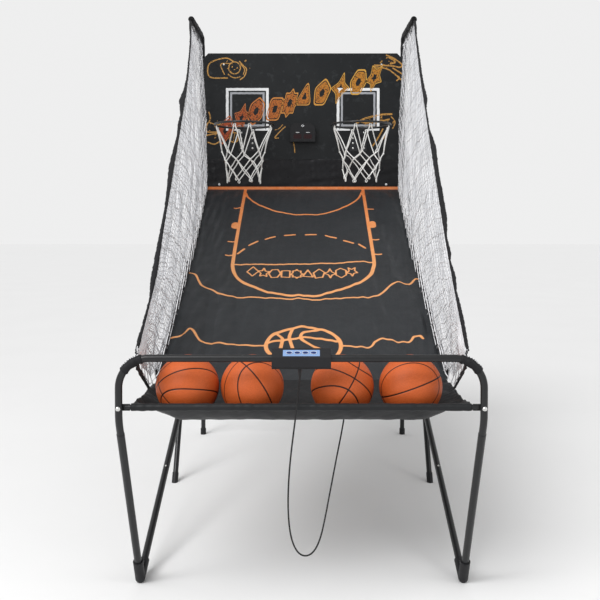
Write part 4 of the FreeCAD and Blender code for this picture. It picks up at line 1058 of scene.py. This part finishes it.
BALL_R, BALL_Y, BALL_Z = 89.0, -883, 625.2
SKIN_GAP = 0.05
BALLS = ((-322, (41, 209, 74)), (-139, (320, 229, 216)), (115, (9, 123, 141)), (308, (353, 340, 260)))
SEAM_HALF, SEAM_DEPTH, SEAM_BOW = 1.9, 1.3, (0.40, 0.38)
for k, (x, turns) in enumerate(BALLS, 1):
    work = bmesh.new()
    bmesh.ops.create_icosphere(work, subdivisions=7, radius=1.0)
    data = bpy.data.meshes.new("ball_skin_%d" % k)
    work.to_mesh(data)
    work.free()
    flat = np.empty(len(data.vertices) * 3)
    data.vertices.foreach_get("co", flat)
    ball = unit(flat.reshape(-1, 3))
    bow = SEAM_BOW[0] + SEAM_BOW[1] * ball[:, 2] ** 2
    rings = np.minimum(np.abs(ball[:, 0]), np.abs(ball[:, 2]))
    to_seam = np.minimum(rings, np.abs(np.abs(ball[:, 0]) - bow) * 0.95)
    seam = to_seam * BALL_R - SEAM_HALF
    dent = SEAM_DEPTH * smooth_step(1.0, -1.4, seam)
    around_x, around_y, around_z = [Matrix.Rotation(math.radians(t), 3, a) for t, a in zip(turns, "XYZ")]
    rotation = np.array(around_x @ around_y @ around_z)
    skin = (ball * (BALL_R - SKIN_GAP - dent)[:, None]) @ rotation.T + np.array((x, BALL_Y, BALL_Z))
    data.vertices.foreach_set("co", (skin * MM).ravel())
    data.attributes.new("seam_mm", "FLOAT", "POINT").data.foreach_set("value", seam)
    data.materials.append(BALL)
    data.polygons.foreach_set("use_smooth", [True] * len(data.polygons))
    data.update()
    ball_piece = add_object("ball_skin_%d" % k, data)
    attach(ball_piece, "ball_body_%d" % k)
    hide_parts("ball_%d" % k)


# ---- print on the board ----------------------------------------------------------------------

BOARD_FRONT = 999.0
PRINT_LOW, PRINT_HIGH = BOARD_FRONT - 0.5, BOARD_FRONT + 0.3
INK_HALF = 0.4
# The corner that the sketches are measured from, and their steps across and down.
LEFT, TOP = -516.1379, 1968.1448
STEP_X, STEP_Z = 0.6697905, 0.6820678


def stroke(shape, line, width):
    """A painted line in the board's plane, given as (X, Z)."""
    points = np.array([(x, BOARD_FRONT - 0.1, z) for x, z in line], float)
    if len(points) > 2:
        points = curve_through(points, 6)
    shape.tube(points, INK_HALF, 8, first=(0, 1, 0), flat=width * 0.36 / INK_HALF)


def outline(corners, turn, inner, size, tall, lean, centre, smooth=0):
    """A closed (X, Z) outline leaning like slanted print."""
    points = radial((0, 0), corners, turn, inner, 1.0)[:-1]
    dense = []
    for a, b in zip(points, points[1:] + points[:1]):
        for t in np.arange(8) / 8:
            dense.append((a[0] + (b[0] - a[0]) * t, a[1] + (b[1] - a[1]) * t))
    dense = np.array(dense)
    for _ in range(smooth):
        dense = (np.roll(dense, 1, axis=0) + dense + np.roll(dense, -1, axis=0)) / 3
    x = dense[:, 0] * size + lean * dense[:, 1] * size * tall
    return np.stack([centre[0] + x, centre[1] + dense[:, 1] * size * tall], axis=1)


def on_board(points):
    """Places (X, Z) on the board from steps to the right and down from its sketches' corner."""
    return [(LEFT + STEP_X * across, TOP - STEP_Z * down) for across, down in points]


# The slanted row of emblems: their places, and for each its corners, turn, inner radius share and size.
ROW = ((-390, 1559), (-311, 1620), (-236, 1654), (-141, 1665), (-66, 1695), (9, 1726), (98, 1746),
       (190, 1770), (282, 1801), (364, 1825))
SHAPES = ((4, 0.0, 1.0, 1.10), (5, 1.57, 0.52, 1.05), (6, 0.52, 1.0, 1.0), (4, 0.785, 1.0, 1.12),
          (8, 0.0, 0.74, 1.02), (3, 1.57, 1.0, 1.15), (5, 1.57, 1.0, 1.05), (4, 1.57, 0.46, 1.15),
          (6, 0.0, 1.0, 1.0), (5, -1.57, 0.52, 1.05))
ROW_SIZE, ROW_TALL, ROW_LEAN = 43.5, 1.72, 0.27
emblems = Shape()
for centre, (corners, turn, inner, grow) in zip(ROW, SHAPES):
    outer, ring, core, hollow = [outline(corners, turn, inner, ROW_SIZE * grow * share, ROW_TALL,
                                         ROW_LEAN, centre, 2) for share in (1.0, 0.88, 0.80, 0.30)]
    emblems.plate(outer, ring, PRINT_LOW, PRINT_HIGH, slot=0)
    emblems.plate(core, hollow, PRINT_LOW, PRINT_HIGH, slot=1)
emblem_piece = outward(emblems.piece("board_emblems", INK_RIM, INK_FILL, smooth=False, slot="board_panel"))
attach(emblem_piece, "root")

sketch = Shape()
for line, width in (
    (((205, 215), (70, 208), (55, 130), (95, 90), (190, 68), (250, 95)), 9),
    (((180, 190), (160, 150), (155, 110), (240, 108)), 7),
    (((290, 90), (318, 120), (345, 150), (330, 200), (296, 228)), 8),
    (((300, 110), (330, 150), (320, 190)), 6),
    (((205, 185), (230, 205), (262, 214), (300, 205)), 7),
    (((1400, 45), (1460, 70), (1520, 115), (1505, 135), (1440, 125), (1310, 120)), 10),
    (((1300, 130), (1400, 145), (1460, 180), (1520, 230), (1525, 190), (1450, 140)), 9),
    (((1420, 60), (1470, 96), (1430, 110)), 12), (((1470, 190), (1502, 212), (1480, 236)), 9),
    (((60, 465), (70, 520), (45, 560), (40, 600), (55, 615), (120, 615)), 9), (((40, 640), (135, 620)), 10),
    (((50, 690), (100, 705), (150, 680)), 9), (((60, 540), (110, 560), (160, 560)), 6),
    (((1170, 556), (1230, 520), (1300, 500), (1370, 486), (1450, 482)), 13),
    (((1180, 530), (1260, 548), (1350, 536), (1430, 520)), 11), (((1240, 560), (1330, 580), (1420, 566)), 9),
    (((1380, 590), (1352, 640), (1328, 680), (1300, 720)), 10), (((1420, 580), (1400, 640), (1350, 700)), 8),
    (((1440, 500), (1470, 540), (1452, 590)), 8),
    (((640, 575), (610, 600), (560, 655), (590, 660)), 7), (((700, 690), (708, 730), (710, 770)), 7),
    (((560, 600), (590, 590), (620, 560)), 5),
):
    stroke(sketch, on_board(line), width)
ring_x, ring_z = on_board([(255, 140)])[0]
stroke(sketch, oval(ring_x, ring_z, 30, 30, 24), 7)
draw = np.random.default_rng(71)
for centre, reach, count in (((1330, 520), (110, 55), 26), ((1430, 110), (80, 40), 12),
                             ((120, 600), (70, 90), 12), ((250, 150), (90, 60), 10)):
    for _ in range(count):
        across, down = [place + draw.normal(0, spread / 2) for place, spread in zip(centre, reach)]
        place = on_board([(across, down)])[0]
        size, turn = draw.uniform(1.6, 5.5), draw.uniform(0, 6)
        drop = outline(6, turn, 1.0, size, draw.uniform(0.6, 1.6), 0.4, place, 1)
        sketch.plate(drop, place, PRINT_LOW + 0.1, PRINT_HIGH)
ball_x, ball_z = on_board([(250, 655)])[0]
disc = oval(ball_x, ball_z, 27, 27, 40)[:-1]
sketch.plate(disc, oval(ball_x, ball_z, 21.6, 21.6, 40)[:-1], PRINT_LOW, PRINT_HIGH)
for lean in (-14, 0, 14):
    seam_line = [(lean - 4, -20), (lean * 1.4, 0), (lean + 4, 20)]
    stroke(sketch, [(ball_x + x, ball_z + z) for x, z in seam_line], 4)
sketch_piece = outward(sketch.piece("board_line_art", INK_LINE, smooth=False, slot="board_panel"))
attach(sketch_piece, "root")


def square_line(centre_x, width, height, low, seed):
    """A closed square outline with slightly worn edges, as (X, Z)."""
    x0, x1 = centre_x - width / 2, centre_x + width / 2
    corners = [(x0, low), (x1, low), (x1, low + height), (x0, low + height), (x0, low)]
    points = along_line(corners, 6.0)[:-1]
    wear = 0.5 * ripple(points[:, 0], points[:, 1], 26, seed)[:, None]
    return points + wear * unit(points - (centre_x, low + height / 2))


TARGET_X, TARGET_LOW, TARGET_SIZE = 281, 1556, np.array((217.0, 215.0))
targets, inners = Shape(), Shape()
for sign in (-1, 1):
    for shape, inset, line in ((targets, 0.0, 13.6), (inners, 21.0, 10.0)):
        wide, tall = TARGET_SIZE - 2 * inset
        outer = square_line(sign * TARGET_X, wide, tall, TARGET_LOW + inset, 81)
        shrink = np.array(((wide - 2 * line) / wide, (tall - 2 * line) / tall))
        centre = np.array((sign * TARGET_X, TARGET_LOW + TARGET_SIZE[1] / 2))
        shape.plate(outer, centre + (outer - centre) * shrink, PRINT_LOW + 0.05, PRINT_HIGH)
for shape, name, ink in ((targets, "target_squares", WHITE_INK), (inners, "target_inner_squares", GREY_INK)):
    piece = outward(shape.piece(name, ink, smooth=False, slot="board_panel"))
    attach(piece, "root")


# ---- skirt under the board -------------------------------------------------------------------

skirt_x, skirt_z = np.meshgrid(np.linspace(-497, 497, 200), np.linspace(1252, 1413, 36), indexing="ij")
pull = np.sin((skirt_x + 0.8 * (skirt_z - 1330)) / 23) * smooth_step(330, 500, np.abs(skirt_x))
wide_folds = 1.5 * (1 + ripple(skirt_x, skirt_z * 2.0, 120, 91)) * smooth_step(1252, 1290, skirt_z)
fine_folds = 0.6 * (1 + ripple(skirt_x * 1.4, skirt_z, 50, 92)) * smooth_step(1252, 1285, skirt_z)
skirt_y = 1000.2 - wide_folds - fine_folds - 0.7 * pull + 1.4 * smooth_step(1395, 1413, skirt_z)
skirt_y = np.minimum(skirt_y, 1001.4)
skirt = Shape().sheet(np.stack([skirt_x, skirt_y, skirt_z], axis=2), 1.0)
skirt_piece = outward(skirt.piece("backboard_skirt_sheet", SKIRT_VINYL, slot="skirt_vinyl"))
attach(skirt_piece, "root")
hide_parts("backboard_skirt")

# A button through the skirt at each side.
buttons = Shape()
for x in (-424, 424):
    profile = [(0, -2.6), (3.4, -2.3), (5.2, -1.2), (5.6, 0), (5.6, 2.4), (0, 2.4)]
    buttons.lathe(profile, (x, 997.0, 1283), (0, 1, 0), 28)
button_piece = outward(buttons.piece("skirt_buttons", WHITE_INK, slot="cap_plastic"))
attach(button_piece, "root")


# ---- scoreboard and control box marks --------------------------------------------------------

marks = Shape()
FACE = 969.0
for x in (-26, 26):
    bar = [(x - 9, 1542.4), (x + 9, 1542.4), (x + 9, 1544.8), (x - 9, 1544.8)]
    marks.plate(bar, (x, 1543.6), FACE - 0.3, FACE + 0.3)
crest = outline(4, 0.0, 1.0, 8.5, 0.75, 0.0, (0, 1577), 1)
marks.plate(crest, outline(4, 0.0, 1.0, 5.4, 0.75, 0.0, (0, 1577), 1), FACE - 0.3, FACE + 0.3)
mark_piece = outward(marks.piece("scoreboard_marks", WHITE_INK, smooth=False, slot="case_plastic"))
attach(mark_piece, "root")

# The middle of the keypad's face in side view, the way up its slope and the way out of it.
KEY_FACE = np.array((-1018.0, 740.0))
SLOPE = unit(np.array((36.0, 18.0)))
UP = np.array((-SLOPE[1], SLOPE[0]))
KEY_PITCH, RING_WIDE, RING_TALL, RING_LIFT = 21.6, 8.7, 6.6, 1.55
rings = Shape()
for k in range(4):
    x = (k - 1.5) * KEY_PITCH
    ring = []
    for t in np.arange(32) * math.pi / 16:
        place = KEY_FACE + SLOPE * RING_TALL * math.sin(t) + UP * RING_LIFT
        ring.append((x + RING_WIDE * math.cos(t), place[0], place[1]))
    rings.tube(ring, 0.42, 8, closed=True)
ring_piece = rings.piece("key_outlines", WHITE_INK, slot="label_film")
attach(ring_piece, "front_section")


# ---- floor, light and the end ----------------------------------------------------------------

floor_mesh = bpy.data.meshes.new("floor")
floor_mesh.from_pydata([(-30, -12, 0), (30, -12, 0), (30, 40, 0), (-30, 40, 0)], [], [(0, 1, 2, 3)])
floor_paint = Paint("floor", rough=0.9, Specular_IOR_Level=0.1)
floor_paint.colour(floor_paint.mix(floor_paint.noise(1.5, 3), (0.80, 0.80, 0.80), (0.83, 0.83, 0.83)))
floor_mesh.materials.append(floor_paint.material)
add_object("floor", floor_mesh)

# The world lights the machine softly, and what the camera sees behind it is a pale, even backdrop.
world = bpy.data.worlds.new("studio")
scene.world = world
world.use_nodes = True
world_tree = world.node_tree
soft_light = world_tree.nodes["Background"]
soft_light.inputs["Color"].default_value = (1.0, 1.0, 1.0, 1.0)
soft_light.inputs["Strength"].default_value = 0.62
backdrop = world_tree.nodes.new("ShaderNodeBackground")
backdrop.inputs["Color"].default_value = (0.86, 0.86, 0.86, 1.0)
light_path = world_tree.nodes.new("ShaderNodeLightPath")
either = world_tree.nodes.new("ShaderNodeMixShader")
for outlet, inlet in (
    (light_path.outputs["Is Camera Ray"], either.inputs[0]),
    (soft_light.outputs[0], either.inputs[1]),
    (backdrop.outputs[0], either.inputs[2]),
    (either.outputs[0], world_tree.nodes["World Output"].inputs["Surface"]),
):
    world_tree.links.new(outlet, inlet)
scene.view_settings.view_transform = "Standard"


def toward(direction):
    """The turn of a lamp that shines in a direction."""
    return direction.to_track_quat("-Z", "Y").to_euler()


sun = bpy.data.lights.new("key_light", "SUN")
sun.energy = 1.65
sun.angle = math.radians(35)
add_object("key_light", sun, turn=toward(Vector((0.45, 0.62, -0.95))))
for name, place, target, size, power in (
    ("strip_light", (-2.6, -3.0, 2.8), (0, 0, 1.0), 1.2, 55),
    ("fill_light", (3.0, -2.6, 2.2), (0, 0, 0.9), 1.6, 25),
):
    light = bpy.data.lights.new(name, "AREA")
    light.energy = power
    light.size = size
    add_object(name, light, place, toward(Vector(target) - Vector(place)))
